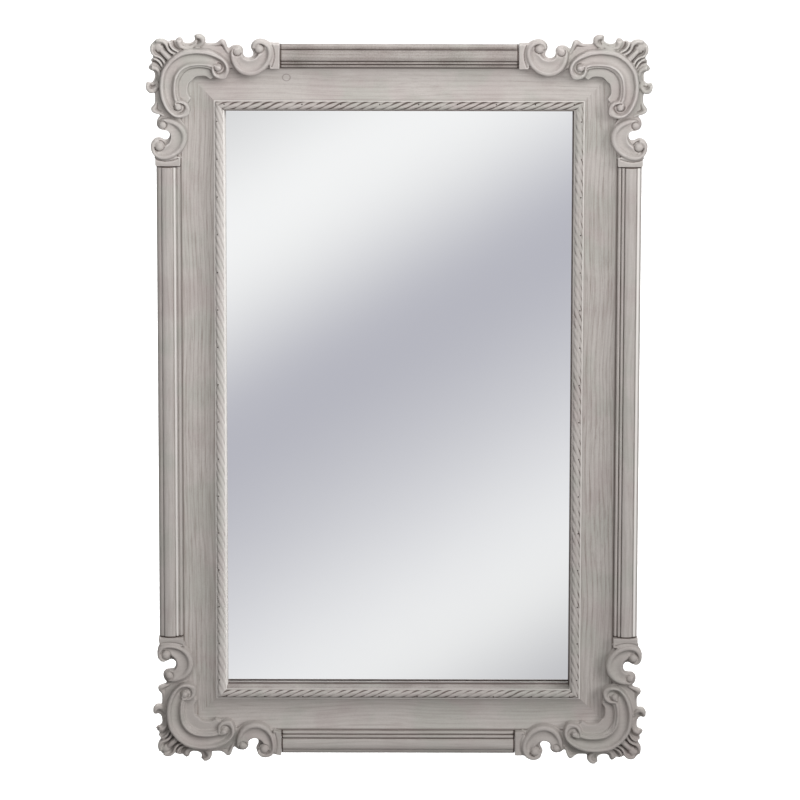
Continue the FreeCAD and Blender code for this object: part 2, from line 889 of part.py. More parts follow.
def along_x(label, radius, length):
    """A bar along X, centred on the knuckle's axis and that far off the back."""
    bar = doc.addObject("Part::Cylinder", label)
    bind(bar, Radius=radius, Height=length)
    bar.Placement = Placement(Vector(0, 0, 0), Rotation(Vector(0, 1, 0), 90))
    bar.setExpression("Placement.Base.x", (-length / 2).text)
    bar.setExpression("Placement.Base.y", knuckle.text)
    return bar


def ring_body(label):
    """A closed D of round wire, its straight bar on the X axis and its loop upward."""
    half = ring_half
    corner = cell("ring_corner")
    shoulder = corner + cell("ring_side")
    none = Size(0)
    body = doc.addObject("PartDesign::Body", label)
    path = new_sketch(body, "XZ_Plane", f"{label}_line")
    draw_outline(
        path,
        [
            (none, none),
            (half - corner, none, corner, 1),
            (half, corner),
            (half, shoulder, half, 1),
            (none, shoulder + half, half, 1),
            (-half, shoulder),
            (-half, corner, corner, 1),
            (corner - half, none),
        ],
    )
    section = new_sketch(body, "YZ_Plane", f"{label}_wire")
    section.addGeometry(Part.Circle(Vector(0, 0, 0), Vector(0, 0, 1), wire.number))
    section.addConstraint(Sketcher.Constraint("Coincident", 0, 3, -1, 1))
    rule = section.addConstraint(Sketcher.Constraint("Radius", 0, wire.number))
    section.setExpression(f"Constraints[{rule}]", wire.text)
    pipe = body.newObject("PartDesign::AdditivePipe", f"{label}_bend")
    pipe.Profile = section
    pipe.Spine = (path, [""])
    return body


def is_lower_corner(edge):
    """True for the two edges through the strap's plate at its lower end."""
    through = edge.BoundBox.YLength > edge.BoundBox.XLength + edge.BoundBox.ZLength
    return through and edge.CenterOfMass.z < -strap_length / 2


# The corner radius leaves some of the strap's end straight, however narrow the strap.
STRAIGHT_END_SHARE = 0.05
corner_limit = sheet.strap_width * (1 - STRAIGHT_END_SHARE) / 2
corner_radius = min(sheet.strap_corner, corner_limit)
for side, hand in hanger_sides:
    place = Placement(Vector(hand * hanger_across, 0, hanger_level), Rotation())
    plate_blank = doc.addObject("Part::Box", f"{side}_strap_plate")
    bind(plate_blank, Length=strap_width, Width=cell("strap_thickness"))
    plate_blank.Height = strap_length
    plate_blank.setExpression("Placement.Base.x", (-strap_width / 2).text)
    plate_blank.Placement.Base.z = -strap_length
    doc.recompute()
    rounded = doc.addObject("Part::Fillet", f"{side}_strap_rounded")
    rounded.Base = plate_blank
    rounded.Edges = [
        (number, corner_radius, corner_radius)
        for number, edge in enumerate(plate_blank.Shape.Edges, start=1)
        if is_lower_corner(edge)
    ]
    folded = doc.addObject("Part::MultiFuse", f"{side}_strap_folded")
    folded.Shapes = [rounded, along_x(f"{side}_knuckle", knuckle, strap_width)]
    axis_hole = along_x(f"{side}_knuckle_bore", bore, strap_width * 2)
    open_strap = cut(f"{side}_strap_open", folded, axis_hole)
    open_strap.Placement = place
    bores = [hanger_screw(spot, gap) for spot in hanger_screw_places(hand * hanger_across)]
    bores = feature(f"{side}_strap_bores", Part.makeCompound(bores))
    pieces.append(cut(f"{side}_hanger_strap", open_strap, bores))

screws = [
    hanger_screw(spot)
    for _, hand in hanger_sides
    for spot in hanger_screw_places(hand * hanger_across)
]
fixings("hanger_screws", screws)

# At rest each ring leans back until its wire almost touches the stile.
ring_fall = knuckle.number - sheet.wire_radius - sheet.ring_rest_gap
ring_lean = math.degrees(math.asin(ring_fall / ring_reach))
for side, hand in hanger_sides:
    ring = ring_body(f"{side}_hanger_ring")
    axis = Vector(hand * hanger_across, knuckle.number, hanger_level)
    ring.Placement = Placement(axis, Rotation(Vector(1, 0, 0), ring_lean))
    pieces.append(ring)

# Felt bumpers that keep the lower and upper corners off the wall.
for angle, corner in CORNER_NAMES.items():
    bumper = doc.addObject("Part::Cylinder", f"{corner}_bumper")
    bind(bumper, Radius=cell("bumper_radius"), Height=cell("bumper_thickness"))
    across = math.copysign(hanger_across, frame_corner(angle).x)
    level = math.copysign(half_height - sheet.bumper_drop, frame_corner(angle).z)
    bumper.Placement = Placement(Vector(across, 0, level), Rotation(Vector(1, 0, 0), -90))
    pieces.append(bumper)

doc.recompute()
for thing in doc.Objects:
    if {"Invalid", "Error"} & set(thing.State):
        raise RuntimeError(f"{thing.Label} did not build: {thing.State}")
for piece in pieces:
    if piece.Shape.isNull() or not piece.Shape.isValid():
        raise RuntimeError(f"{piece.Label} has no sound shape")

os.makedirs("parts", exist_ok=True)
for piece in pieces:
    piece.Shape.exportStep(f"parts/{piece.Label}.step")
    print(piece.Label, round(piece.Shape.Volume), len(piece.Shape.Solids), piece.Shape.BoundBox)
print("knuckle axis off the back", knuckle.number, "ring lean", round(ring_lean, 3), "reach", ring_reach)
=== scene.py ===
import math

import bmesh
import bpy
import numpy as np
from mathutils import Matrix, Vector


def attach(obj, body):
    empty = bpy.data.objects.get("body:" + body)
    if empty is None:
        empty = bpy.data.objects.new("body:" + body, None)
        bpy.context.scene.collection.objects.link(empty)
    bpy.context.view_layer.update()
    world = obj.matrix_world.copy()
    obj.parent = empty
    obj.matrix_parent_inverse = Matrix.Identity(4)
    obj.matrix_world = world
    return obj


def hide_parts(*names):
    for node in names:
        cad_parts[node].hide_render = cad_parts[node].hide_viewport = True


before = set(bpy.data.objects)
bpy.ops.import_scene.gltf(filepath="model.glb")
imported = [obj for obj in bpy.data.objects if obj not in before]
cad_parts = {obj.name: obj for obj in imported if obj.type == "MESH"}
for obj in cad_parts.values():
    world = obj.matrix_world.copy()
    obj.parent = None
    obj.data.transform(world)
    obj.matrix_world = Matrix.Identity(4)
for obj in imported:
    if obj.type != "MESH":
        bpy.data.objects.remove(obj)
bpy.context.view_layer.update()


# The viewpoint: a long lens 8.5 m off, straight in front of the mirror and a little
# above it. It aims a hair beside the middle, which frames the mirror as it is seen.
VIEW_ELEVATION = math.radians(14.64)
VIEW_ROLL = math.radians(0.11)
VIEW_DISTANCE = 8.461
VIEW_END = 200
SENSOR_WIDTH = 36
FOCAL_SHARE = 7054 / 800
AIM = Vector((0.0016, 0, -0.0034))

scene = bpy.context.scene
camera = bpy.data.objects.new("camera", bpy.data.cameras.new("camera"))
scene.collection.objects.link(camera)
camera.data.sensor_width = SENSOR_WIDTH
camera.data.lens = SENSOR_WIDTH * FOCAL_SHARE
camera.data.clip_end = VIEW_END
back = Vector((0, -math.cos(VIEW_ELEVATION), math.sin(VIEW_ELEVATION)))
camera.location = AIM + back * VIEW_DISTANCE
camera.rotation_mode = "QUATERNION"
looking = (-back).to_track_quat("-Z", "Y")
camera.rotation_quaternion = looking @ Matrix.Rotation(VIEW_ROLL, 4, "Z").to_quaternion()
scene.camera = camera
scene.view_settings.view_transform = "Standard"


# Links of a finish: a link wraps a socket, so that sums, differences and products of
# links add Math nodes, and any other node comes from its one method, node().
class Link:
    def __init__(self, tree, socket):
        self.tree = tree
        self.socket = socket

    def node(self, kind, settings=None, values=None, output=0):
        """Add a node, set it up, connect its sockets and give back one of its outputs."""
        made = self.tree.nodes.new(kind)
        for name, setting in (settings or {}).items():
            if name == "stops":
                made.color_ramp.interpolation = "B_SPLINE"
                ramp = made.color_ramp.elements
                while len(ramp) < len(setting):
                    ramp.new(0.5)
                for element, (spot, shade) in zip(ramp, setting):
                    element.position = spot
                    element.color = shade
            else:
                setattr(made, name, setting)
        for name, value in (values or {}).items():
            if isinstance(value, Link):
                self.tree.links.new(value.socket, made.inputs[name])
            else:
                made.inputs[name].default_value = value
        return Link(self.tree, made.outputs[output]) if made.outputs else None

    def reckon(self, operation, *values):
        """A Math node on numbers and links."""
        return self.node("ShaderNodeMath", {"operation": operation}, dict(enumerate(values)))

    def __add__(self, other):
        return self.reckon("ADD", self, other)

    def __radd__(self, other):
        return self.reckon("ADD", other, self)

    def __sub__(self, other):
        return self.reckon("SUBTRACT", self, other)

    def __rsub__(self, other):
        return self.reckon("SUBTRACT", other, self)

    def __mul__(self, other):
        return self.reckon("MULTIPLY", self, other)

    def __rmul__(self, other):
        return self.reckon("MULTIPLY", other, self)

    def __neg__(self):
        return self.reckon("SUBTRACT", 0, self)

    def size(self):
        """How large it is, whatever its sign."""
        return self.reckon("ABSOLUTE", self)

    def most(self, other):
        """The larger of the two."""
        return self.reckon("MAXIMUM", self, other)

    def ease(self, low, high):
        """Rise smoothly from 0 at low to 1 at high."""
        limits = {"Value": self, "From Min": low, "From Max": high}
        return self.node("ShaderNodeMapRange", {"interpolation_type": "SMOOTHSTEP"}, limits)

    def blend(self, under, over):
        """Mix two colours by this link, through a Mix node's sockets for colours."""
        return self.node("ShaderNodeMix", {"data_type": "RGBA"}, {0: self, 6: under, 7: over}, 2)

    def noise(self, scale, detail, seed=None, output=0, **others):
        """Noise over this space, by its scale in waves a metre, its detail and its seed."""
        values = {"Vector": self, "Scale": scale, "Detail": detail, **others}
        if seed is None:
            return self.node("ShaderNodeTexNoise", None, values, output)
        values["W"] = seed
        return self.node("ShaderNodeTexNoise", {"noise_dimensions": "4D"}, values, output)

    def moved(self, operation, *values, output=0):
        """Vector Math on this link, with what goes into the node's further sockets."""
        sockets = dict(enumerate((self, *values)))
        return self.node("ShaderNodeVectorMath", {"operation": operation}, sockets, output)

    def axis(self, index):
        """One coordinate of this vector: 0 across, 1 in depth and 2 up."""
        return self.node("ShaderNodeSeparateXYZ", None, {"Vector": self}, index)

    def bump(self, strength, distance):
        """A normal that this height raises."""
        values = {"Height": self, "Strength": strength, "Distance": distance}
        return self.node("ShaderNodeBump", None, values)


def colour(red, green, blue):
    """A colour named by its screen values, 0 to 255, as the shader takes it."""
    return (*((share / 255) ** 2.2 for share in (red, green, blue)), 1)


def object_space(tree):
    """A link to the Object coordinates."""
    return Link(tree, None).node("ShaderNodeTexCoord", output=3)


def new_finish(name, **constants):
    """A material with one Principled shader; gives both, and a link to object space."""
    material = bpy.data.materials.new(name)
    material.use_nodes = True
    shader = material.node_tree.nodes["Principled BSDF"]
    for socket, value in constants.items():
        shader.inputs[socket.replace("_", " ")].default_value = value
    return material, shader, object_space(material.node_tree)


def feed(shader, **links):
    """Connect links to the shader's sockets."""
    for name, link in links.items():
        link.tree.links.new(link.socket, shader.inputs[name.replace("_", " ")])


# The floor: one large pale sheet, well below the mirror, with barely seen mottling. It
# throws no light back, so the mirror is lit by the room and the lamps alone.
FLOOR_DEPTH = 1.5
FLOOR_RADIUS = 40
FLOOR_SIDES = 96

form = bmesh.new()
bmesh.ops.create_circle(form, cap_ends=True, segments=FLOOR_SIDES, radius=FLOOR_RADIUS)
bmesh.ops.translate(form, verts=form.verts, vec=(0, 0, -FLOOR_DEPTH))
floor = bpy.data.objects.new("floor", bpy.data.meshes.new("floor"))
form.to_mesh(floor.data)
form.free()
scene.collection.objects.link(floor)
floor_finish, shader, place = new_finish("pale_floor", Roughness=0.9, Specular_IOR_Level=0.1)
mottle = place.noise(0.8, 2.0)
feed(shader, Base_Color=mottle.blend(colour(250, 250, 250), colour(253, 253, 253)))
floor.data.materials.append(floor_finish)
floor.visible_diffuse = False


# Studio light: an even pale room, a broad far lamp on the right, a soft one close above
# the front, and a wide one over the floor behind.
ROOM_STRENGTH = 0.26
room = bpy.data.worlds.new("room")
room.use_nodes = True
room.node_tree.nodes["Background"].inputs["Color"].default_value = (1, 1, 1, 1)
room.node_tree.nodes["Background"].inputs["Strength"].default_value = ROOM_STRENGTH
scene.world = room


def lamp_at(name, kind, place, aim, power):
    """A lamp that looks at a point."""
    lamp = bpy.data.objects.new(name, bpy.data.lights.new(name, kind))
    lamp.data.energy = power
    lamp.location = place
    lamp.rotation_mode = "QUATERNION"
    lamp.rotation_quaternion = (Vector(aim) - Vector(place)).to_track_quat("-Z", "Y")
    scene.collection.objects.link(lamp)
    return lamp


key_lamp = lamp_at("key_lamp", "SUN", place=(5.0, -5.8, 2.6), aim=(0, 0, 0), power=1.25)
key_lamp.data.angle = math.radians(24)
front_lamp = lamp_at("front_lamp", "AREA", place=(0.1, -1.15, 0.85), aim=(0, 0, 0.2), power=13.5)
front_lamp.data.size = 0.9
overhead_lamp = lamp_at("overhead_lamp", "AREA", place=(0, 5.5, 5), aim=(0, 5.5, 0), power=950)
overhead_lamp.data.size = 9


# The sheet that the mirror sees: a graded sheet low in front of it that glows, though it is no
# lamp, and paints the picture in the mirror, a painted reflection. It is seen in reflections only,
# lights nothing and fades out at its edges.
SHEET_DISTANCE = 1.2
SHEET_MIDDLE = -0.37
SHEET_HALF_WIDTH = 0.62
SHEET_HALF_HEIGHT = 0.78
SHEET_FADE = 0.25
SHEET_GLOW = 1.06
# Screen grey at even steps along the sheet's diagonal, and how blue it is there.
SHEET_TONES = (
    (210, 1), (249, 0), (235, 0), (175, 10), (184, 8), (204, 5), (229, 2), (241, -1), (182, 4),
)
# Where the diagonal starts, and how far it runs for each metre down and across.
DIAGONAL_START = 0.215
DIAGONAL_DOWN = 0.926
DIAGONAL_ACROSS = 0.5765

form = bmesh.new()
bmesh.ops.create_grid(form, x_segments=1, y_segments=1, size=1)
bmesh.ops.scale(form, verts=form.verts, vec=(SHEET_HALF_WIDTH, SHEET_HALF_HEIGHT, 1))
bmesh.ops.rotate(form, verts=form.verts, matrix=Matrix.Rotation(math.radians(90), 3, "X"))
bmesh.ops.translate(form, verts=form.verts, vec=(0, -SHEET_DISTANCE, SHEET_MIDDLE))
painted_reflection_sheet = bpy.data.objects.new("painted_reflection_sheet", bpy.data.meshes.new("painted_reflection_sheet"))
form.to_mesh(painted_reflection_sheet.data)
form.free()
scene.collection.objects.link(painted_reflection_sheet)
sheet_finish = bpy.data.materials.new("painted_reflection_glow")
sheet_finish.use_nodes = True
sheet_finish.node_tree.nodes.clear()
place = object_space(sheet_finish.node_tree)
across = place.axis(0)
up = place.axis(2)
diagonal = DIAGONAL_START - DIAGONAL_DOWN * up + DIAGONAL_ACROSS * across
stops = [
    (step / (len(SHEET_TONES) - 1), colour(tone, tone, tone + blue))
    for step, (tone, blue) in enumerate(SHEET_TONES)
]
# The painted reflection's tones along the diagonal, and their glow.
tone = diagonal.node("ShaderNodeValToRGB", {"stops": stops}, {"Fac": diagonal})
glow = tone.node("ShaderNodeEmission", None, {"Color": tone, "Strength": SHEET_GLOW})
side_fade = across.size().ease(SHEET_HALF_WIDTH - SHEET_FADE, SHEET_HALF_WIDTH)
end_fade = (up - SHEET_MIDDLE).size().ease(SHEET_HALF_HEIGHT - SHEET_FADE, SHEET_HALF_HEIGHT)
fade = side_fade.most(end_fade)
clear = fade.node("ShaderNodeBsdfTransparent")
both = fade.node("ShaderNodeMixShader", None, {0: fade, 1: glow, 2: clear})
both.node("ShaderNodeOutputMaterial", None, {"Surface": both})
painted_reflection_sheet.data.materials.append(sheet_finish)
for ray in ("camera", "diffuse", "shadow", "transmission", "volume_scatter"):
    setattr(painted_reflection_sheet, f"visible_{ray}", False)


# The mouldings: four rails of soft wood, mitred and joined with loose tongues, and
# limewashed grey with the brown of the old stain left low down and in the pores.
LIGHT_LIME = colour(178, 172, 168)
MAUVE_LIME = colour(171, 162, 159)
GREEN_LIME = colour(169, 167, 161)
GRAIN_BROWN = colour(130, 121, 115)
# The brown wash, in places standing for painted shade, and the worn lime, in places a painted
# highlight:
WASH_AND_SHADE_BROWN = colour(74, 62, 57)
WORN_AND_HIGHLIGHT_LIME = colour(222, 218, 214)
# The grain is drawn out along the wood by this share, and sways by so many metres.
GRAIN_DRAWN = 0.035
GRAIN_SWAY = 0.02
# Half the moulding's height and width, in metres. Dark lines run along the seams where the strip
# and the liner meet it, partly wash left in the joints and partly painted shade that the steps
# would cast: how far inward, how wide, from full to none, and how dark.
OUTER = {"X": 0.4389, "Z": 0.2889}
SEAMS_WASH_AND_SHADE = (
    (0.0299, 0.0006, 0.0024, 0.75),
    (0.0689, 0.0002, 0.0010, 0.22),
)
# A flaw's dark ring: from full to none, in shares of the flaw's size, and how dark.
RING = (0.04, 0.24, 0.42)


def limed_wood(name, along, grain=1.0, darkening=0.0, seams=True, flaws=()):
    """Limewashed wood with its grain along X or Z, more or less of it, and darker all over by a
    given share.

    Where a mesh has the attribute hollow, it is darker above 0, with the wash in hollows and, in
    places, painted shade; and lighter below 0, worn on crests and, in places, a painted highlight.
    A flaw is a small knot or a plugged hole: across, up, size and how much longer than wide it is.
    """
    material, shader, place = new_finish(name, Specular_IOR_Level=0.3)
    run = (GRAIN_DRAWN, 1, 1) if along == "X" else (1, 1, GRAIN_DRAWN)
    drift = place.noise(5.0, 1.0, output=1)
    swayed = drift.moved("MULTIPLY_ADD", (GRAIN_SWAY, GRAIN_SWAY, GRAIN_SWAY), place)
    lying = place.node("ShaderNodeMapping", None, {"Vector": swayed, "Scale": run})
    streak = lying.noise(420.0, 5.0, Roughness=0.66)
    fine = lying.noise(1300.0, 3.0)
    grit = place.noise(620.0, 3.0)
    figure = lying.node(
        "ShaderNodeTexWave",
        {"wave_type": "BANDS", "bands_direction": "Z" if along == "X" else "X"},
        {"Vector": lying, "Scale": 62.0, "Distortion": 9.0, "Detail": 2.0, "Detail Scale": 0.5},
        output=1,
    )
    mauve = place.noise(16.0, 3.0).ease(0.48, 0.64) * 0.8
    green = place.noise(21.0, 3.0, seed=4.0).ease(0.48, 0.64) * 0.8
    ground = green.blend(mauve.blend(LIGHT_LIME, MAUVE_LIME), GREEN_LIME)
    lines = figure.ease(0.55, 0.95) * 0.12 + streak.ease(0.42, 0.72) * 0.24
    lines = lines + fine.ease(0.46, 0.76) * 0.14
    brown = lines * grain + grit.ease(0.4, 0.7) * 0.1 + darkening
    patchy = place.noise(30.0, 2.0, seed=9.0)
    hollow = place.node("ShaderNodeAttribute", {"attribute_name": "hollow"}, output=2)
    darkness = (hollow + (grit - 0.5) * 0.3 + (patchy - 0.5) * 0.5).ease(0.22, 1.0)
    # Painted shade, with the wash, along the seams.
    if seams:
        inward = OUTER[along] - place.axis(2 if along == "X" else 0).size()
        for seam, full, none, dark in SEAMS_WASH_AND_SHADE:
            darkness = darkness.most((1 - (inward - seam).size().ease(full, none)) * dark)
    for across, up, size, stretch in flaws:
        spot = place.moved("SUBTRACT", (across, 0, up))
        spot = spot.moved("MULTIPLY", (1 / size, 0, 1 / size / stretch))
        away = spot.moved("LENGTH", output=1)
        full, none, dark = RING
        darkness = darkness.most((1 - (away - 1).size().ease(full, none)) * dark)
    # Darken towards the brown, wash and painted shade, then lighten towards the worn lime, wear
    # and painted highlight.
    painted = (darkness * 0.9).blend(brown.blend(ground, GRAIN_BROWN), WASH_AND_SHADE_BROWN)
    painted = (-hollow).ease(0.1, 1.6).blend(painted, WORN_AND_HIGHLIGHT_LIME)
    relief = streak * 0.5 + fine * 0.3 + grit * 0.25
    normal = relief.bump(0.3, 0.0006)
    feed(shader, Base_Color=painted, Roughness=0.56 + streak * 0.24, Normal=normal)
    return material


PLUG = (-0.1335, 0.3962, 0.0046, 0.9)
KNOT = (0.2655, -0.2290, 0.0030, 2.6)
wood_across = limed_wood("limed_wood_across", "X", flaws=[PLUG])
wood_upright = limed_wood("limed_wood_upright", "Z", grain=1.9, flaws=[KNOT])


def dress(material, *names):
    """Give CAD nodes a finish."""
    for name in names:
        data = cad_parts[name].data
        data.materials.clear()
        data.materials.append(material)


dress(wood_across, "top_rail", "bottom_rail")
dress(wood_upright, "left_stile", "right_stile")


# The reeded strips: one planed length of soft wood a side, glued between the carved
# corners. Each has an edge reed, a wide band and two reeds that step down to the hollow.
MM = 0.001
HALF_WIDTH = 288.9
HALF_HEIGHT = 438.9
# Each side in turn, as the CAD has them: its turn about Y, half its length and how far
# out its outer edge lies. A stick is drawn lying along the top and turned to its side.
SIDES = {
    "top": (0, HALF_WIDTH, HALF_HEIGHT),
    "right": (90, HALF_HEIGHT, HALF_WIDTH),
    "bottom": (180, HALF_WIDTH, HALF_HEIGHT),
    "left": (270, HALF_HEIGHT, HALF_WIDTH),
}
# Edges sharper than this stay crisp, in degrees, and points nearer than this are one.
SHARP_OVER = 45
MERGE_UNDER = 1e-3


def skin(form, rows, columns, point_at):
    """Lay a grid on a closed form: point_at gives each point, row by row, with its value of wash,
    wear and painted light.
    """
    layer = form.verts.layers.float.get("hollow") or form.verts.layers.float.new("hollow")
    grid = bmesh.ops.create_grid(form, x_segments=columns, y_segments=rows - 1, size=1)["verts"]
    for index, vert in enumerate(grid):
        row, column = divmod(index, columns + 1)
        vert.co, vert[layer] = point_at(row, column % columns)
    bmesh.ops.remove_doubles(form, verts=grid, dist=MERGE_UNDER)
    bmesh.ops.holes_fill(form, edges=[edge for edge in form.edges if edge.is_boundary])


def finished(name, form, material, node):
    """Turn a form in millimetres into a piece that stands for a CAD node."""
    bmesh.ops.scale(form, verts=form.verts, vec=(MM, MM, MM))
    bmesh.ops.recalc_face_normals(form, faces=form.faces)
    data = bpy.data.meshes.new(name)
    form.to_mesh(data)
    form.free()
    piece = bpy.data.objects.new(name, data)
    scene.collection.objects.link(piece)
    data.materials.append(material)
    data.set_sharp_from_angle(angle=math.radians(SHARP_OVER))
    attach(piece, "frame")
    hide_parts(node)


def stick_point(angle, reach, along, inward, height):
    """A point of a stick, given along it, inward from its outer edge and off the back."""
    point = Vector((along, -height, reach - inward))
    return Matrix.Rotation(math.radians(angle), 3, "Y") @ point


# The waves that a hand worked edge is made of: height and length, in millimetres, and how
# far the seed shifts them.
WAVES = ((0.5, 31, 1), (0.3, 13.7, 2.1), (0.2, 5.3, 3.3))


def waver(along, seed):
    """The slow unevenness of a hand worked edge, in millimetres."""
    return sum(height * math.sin(along / length + shift * seed) for height, length, shift in WAVES)


def arc_points(start, end, crown, count):
    """Points of a shallow arc between two section points, its end left out."""
    run = Vector(end) - Vector(start)
    out = Vector((-run.y, run.x)).normalized()
    if out.y < 0:
        out = -out
    points = []
    for step in range(count):
        share = step / count
        points.append(Vector(start) + run * share + out * crown * 4 * share * (1 - share))
    return points


strip_across = limed_wood("limed_wood_strips_across", "X", darkening=0.24, seams=False)
strip_upright = limed_wood("limed_wood_strips_upright", "Z", seams=False)
# The section, from the back of the edge reed round to the back again: where each run
# starts, how high it is crowned, in how many steps it is drawn and how hollow it starts.
STRIP_LINE = (
    ((5.6, 16), 0, 1, 0),
    ((1.3, 25.6), 0, 1, 0.4),
    ((1.2, 26.6), 1.7, 10, 0),
    ((6.5, 33.2), 0, 1, 0.2),
    ((7.2, 32.4), 0, 1, 0.55),
    ((7.5, 34.1), 0, 1, -0.1),
    ((8.3, 34.8), 1.15, 10, -0.1),
    ((19.8, 34.8), 0, 1, -0.1),
    ((20.5, 34.2), 0, 1, 0.5),
    ((20.8, 31.5), 0, 1, 1.4),
    ((21.6, 32.4), 1.2, 6, 0),
    ((24.7, 31.0), 0, 1, 0.6),
    ((25.3, 29.6), 0, 1, 1.5),
    ((26.0, 30.4), 1.2, 6, 0),
    ((29.1, 28.2), 0, 1, 0.4),
    ((29.9, 26.8), 0, 1, 1.4),
    ((29.9, 22), 0, 1, 1.4),
    ((20.3, 22), 0, 1, 0),
    ((21.94, 16), 0, 1, 0),
)
CREST_HOLLOW = -0.25

strip_section = []
strip_hollow = []
for index, (start, crown, count, hollow) in enumerate(STRIP_LINE):
    end, _, _, next_hollow = STRIP_LINE[(index + 1) % len(STRIP_LINE)]
    strip_section += arc_points(start, end, crown, count)
    for step in range(count):
        crest = min(step, count - step) / count * 2
        between = hollow * (1 - step / count) + next_hollow * step / count
        strip_hollow.append(between * (1 - crest) + CREST_HOLLOW * crest)

# How much dark wash is left in the grooves of each side's strip; how strong a painted highlight
# lies on its edge reed, on the right where the key light catches its step, and on its first inner
# reed, on the left where the reeds face the light; and how much darker it is all over, lighter
# below 0.
STRIP_WASH_AND_HIGHLIGHT = {
    "top": (1.0, 0, 0, 0.6),
    "right": (0.8, 1.7, 0, 0),
    "bottom": (0.95, 0, 0, -0.25),
    "left": (0.36, 0, 2.2, 0),
}
EDGE_REED = (3.2, 6.0)
INNER_REED = (21.3, 23.6)
STRIP_STEP = 4.0
STRIP_WAVER = 0.16
CARVING_REACH = 147.9
# The face of a strip is what lies over the first height. At its ends, over the second, it
# is softened back over a short length, and the wash gathers there.
FACE_OVER = 26
SOFT_OVER = 25
SOFT_START = 2.0
SOFT_END = 1.5
SOFT_BACK = 0.7
END_HOLLOW = 1.5

for side, (angle, half, reach) in SIDES.items():
    seed = angle / 50 + 1
    darkness, edge_highlight, inner_highlight, darker_all_over = STRIP_WASH_AND_HIGHLIGHT[side]
    half_length = half - CARVING_REACH
    rows = int(2 * half_length / STRIP_STEP) + 1
    inner = half_length - SOFT_START
    soft = half_length - SOFT_END
    stops = [-half_length, -soft, *np.linspace(-inner, inner, rows), soft, half_length]

    def strip_place(row, column):
        point = strip_section[column]
        height = point.y
        hollow = strip_hollow[column] * (darkness if strip_hollow[column] > 0 else 1) + darker_all_over
        if point.y > FACE_OVER:
            height += waver(stops[row], seed + point.x / 9) * STRIP_WAVER
            # Painted highlights on the edge reed and the first inner reed.
            for (start, stop), lightening in ((EDGE_REED, edge_highlight), (INNER_REED, inner_highlight)):
                if start < point.x < stop:
                    hollow -= lightening
        if row in (0, 1, len(stops) - 2, len(stops) - 1):
            hollow = END_HOLLOW
            if point.y > SOFT_OVER:
                height -= SOFT_BACK
        return stick_point(angle, reach, stops[row], point.x, height), hollow

    form = bmesh.new()
    skin(form, len(stops), len(strip_section), strip_place)
    material = strip_across if side in ("top", "bottom") else strip_upright
    finished(f"{side}_strip_wood", form, material, f"{side}_reeded_strip")


# The roped liners: a softwood bead carved as a twisted rope between two plain fillets,
# mitred round the glass, with a plain inner side that runs down to the glass.
LINER_START = 68.9
LINER_SEAT = 12
LINER_TOP = 27.5
NOSE_EDGE = 77.4
SIGHT_EDGE = 81.9
SIGHT_LEAN = 1.5
GLASS_FRONT = 7
BEAD_START = 70.9
BEAD_HALF = 4.75
BEAD_RISE = 4.0
BEAD_STEPS = 22
STRAND_PITCH = 12.7
STRAND_RUN = 25
STRAND_ROUND = 0.62
STEPS_PER_STRAND = 16
# For each side's liner: the depth of its strands, the wash in its rope and how much lighter the
# rope is, the wash on its outer fillet, and how dark, above 0, or light, below 0, it is at its
# foot, down its inner side and along its sight edge. These last are painted: painted shade at the
# foot, where the side meets the glass, on all but the left, down the right side's inner side,
# which faces away from the key light, and along the top's sight edge; a painted highlight down the
# left side's inner side and along its sight edge, which face the key light, and a faint one along
# the bottom's sight edge.
LINER_WASH_AND_LIGHT = {
    "top": (1.2, 1.8, 0, -0.7, 1.4, 0.4, 1.6),
    "right": (1.0, 1.2, 0.6, -0.85, 1.6, 1.4, 0.3),
    "bottom": (1.1, 1.4, 0, -0.7, 1.4, 0.48, -0.5),
    "left": (0.8, 0.55, 1.2, -0.7, 0.0, -1.3, -1.8),
}


def strand(along, turn):
    """How full the rope is there, 1 on a strand's back and 0 in a groove."""
    cycle = (along + STRAND_RUN * turn) / STRAND_PITCH
    return abs(math.sin(math.pi * cycle)) ** STRAND_ROUND


def bead_point(along, turn, seed=0.0, depth=1.2, darkness=1.0, lightening=0.0):
    """Inward place, height and value of wash and lightening of the rope, its turn running 0 to 1
    over the bead.

    The wash lies in the grooves, in patches, and most on the two shores of the bead.
    """
    full = strand(along, turn)
    swell = 1 - depth / BEAD_HALF * (1 - full)
    across = -math.cos(math.pi * turn) * BEAD_HALF * swell
    rise = math.sin(math.pi * turn) * BEAD_RISE * swell
    patch = 0.75 + 0.35 * waver(2.2 * along, seed)
    shore = (1 - 2 * min(turn, 1 - turn)) ** 2
    stain = (0.5 + 1.9 * shore * (1 - 0.4 * turn)) * patch
    hollow = (1 - full) ** 1.1 * stain * darkness * 1.7 - 0.15 * full - lightening * (0.4 + 0.6 * shore)
    return BEAD_START + BEAD_HALF + across, LINER_TOP + rise, hollow


# The sight edge stands over the inner side as a thin lip, its underside painted near black:
# painted shade under the lip, which the mirror shows as a dark line at the edge of the glass.
LIP_FOOT = LINER_TOP - 1.5
LIP_REACH = 1.7
LIP_SHADE = 3
EASED = 0.4


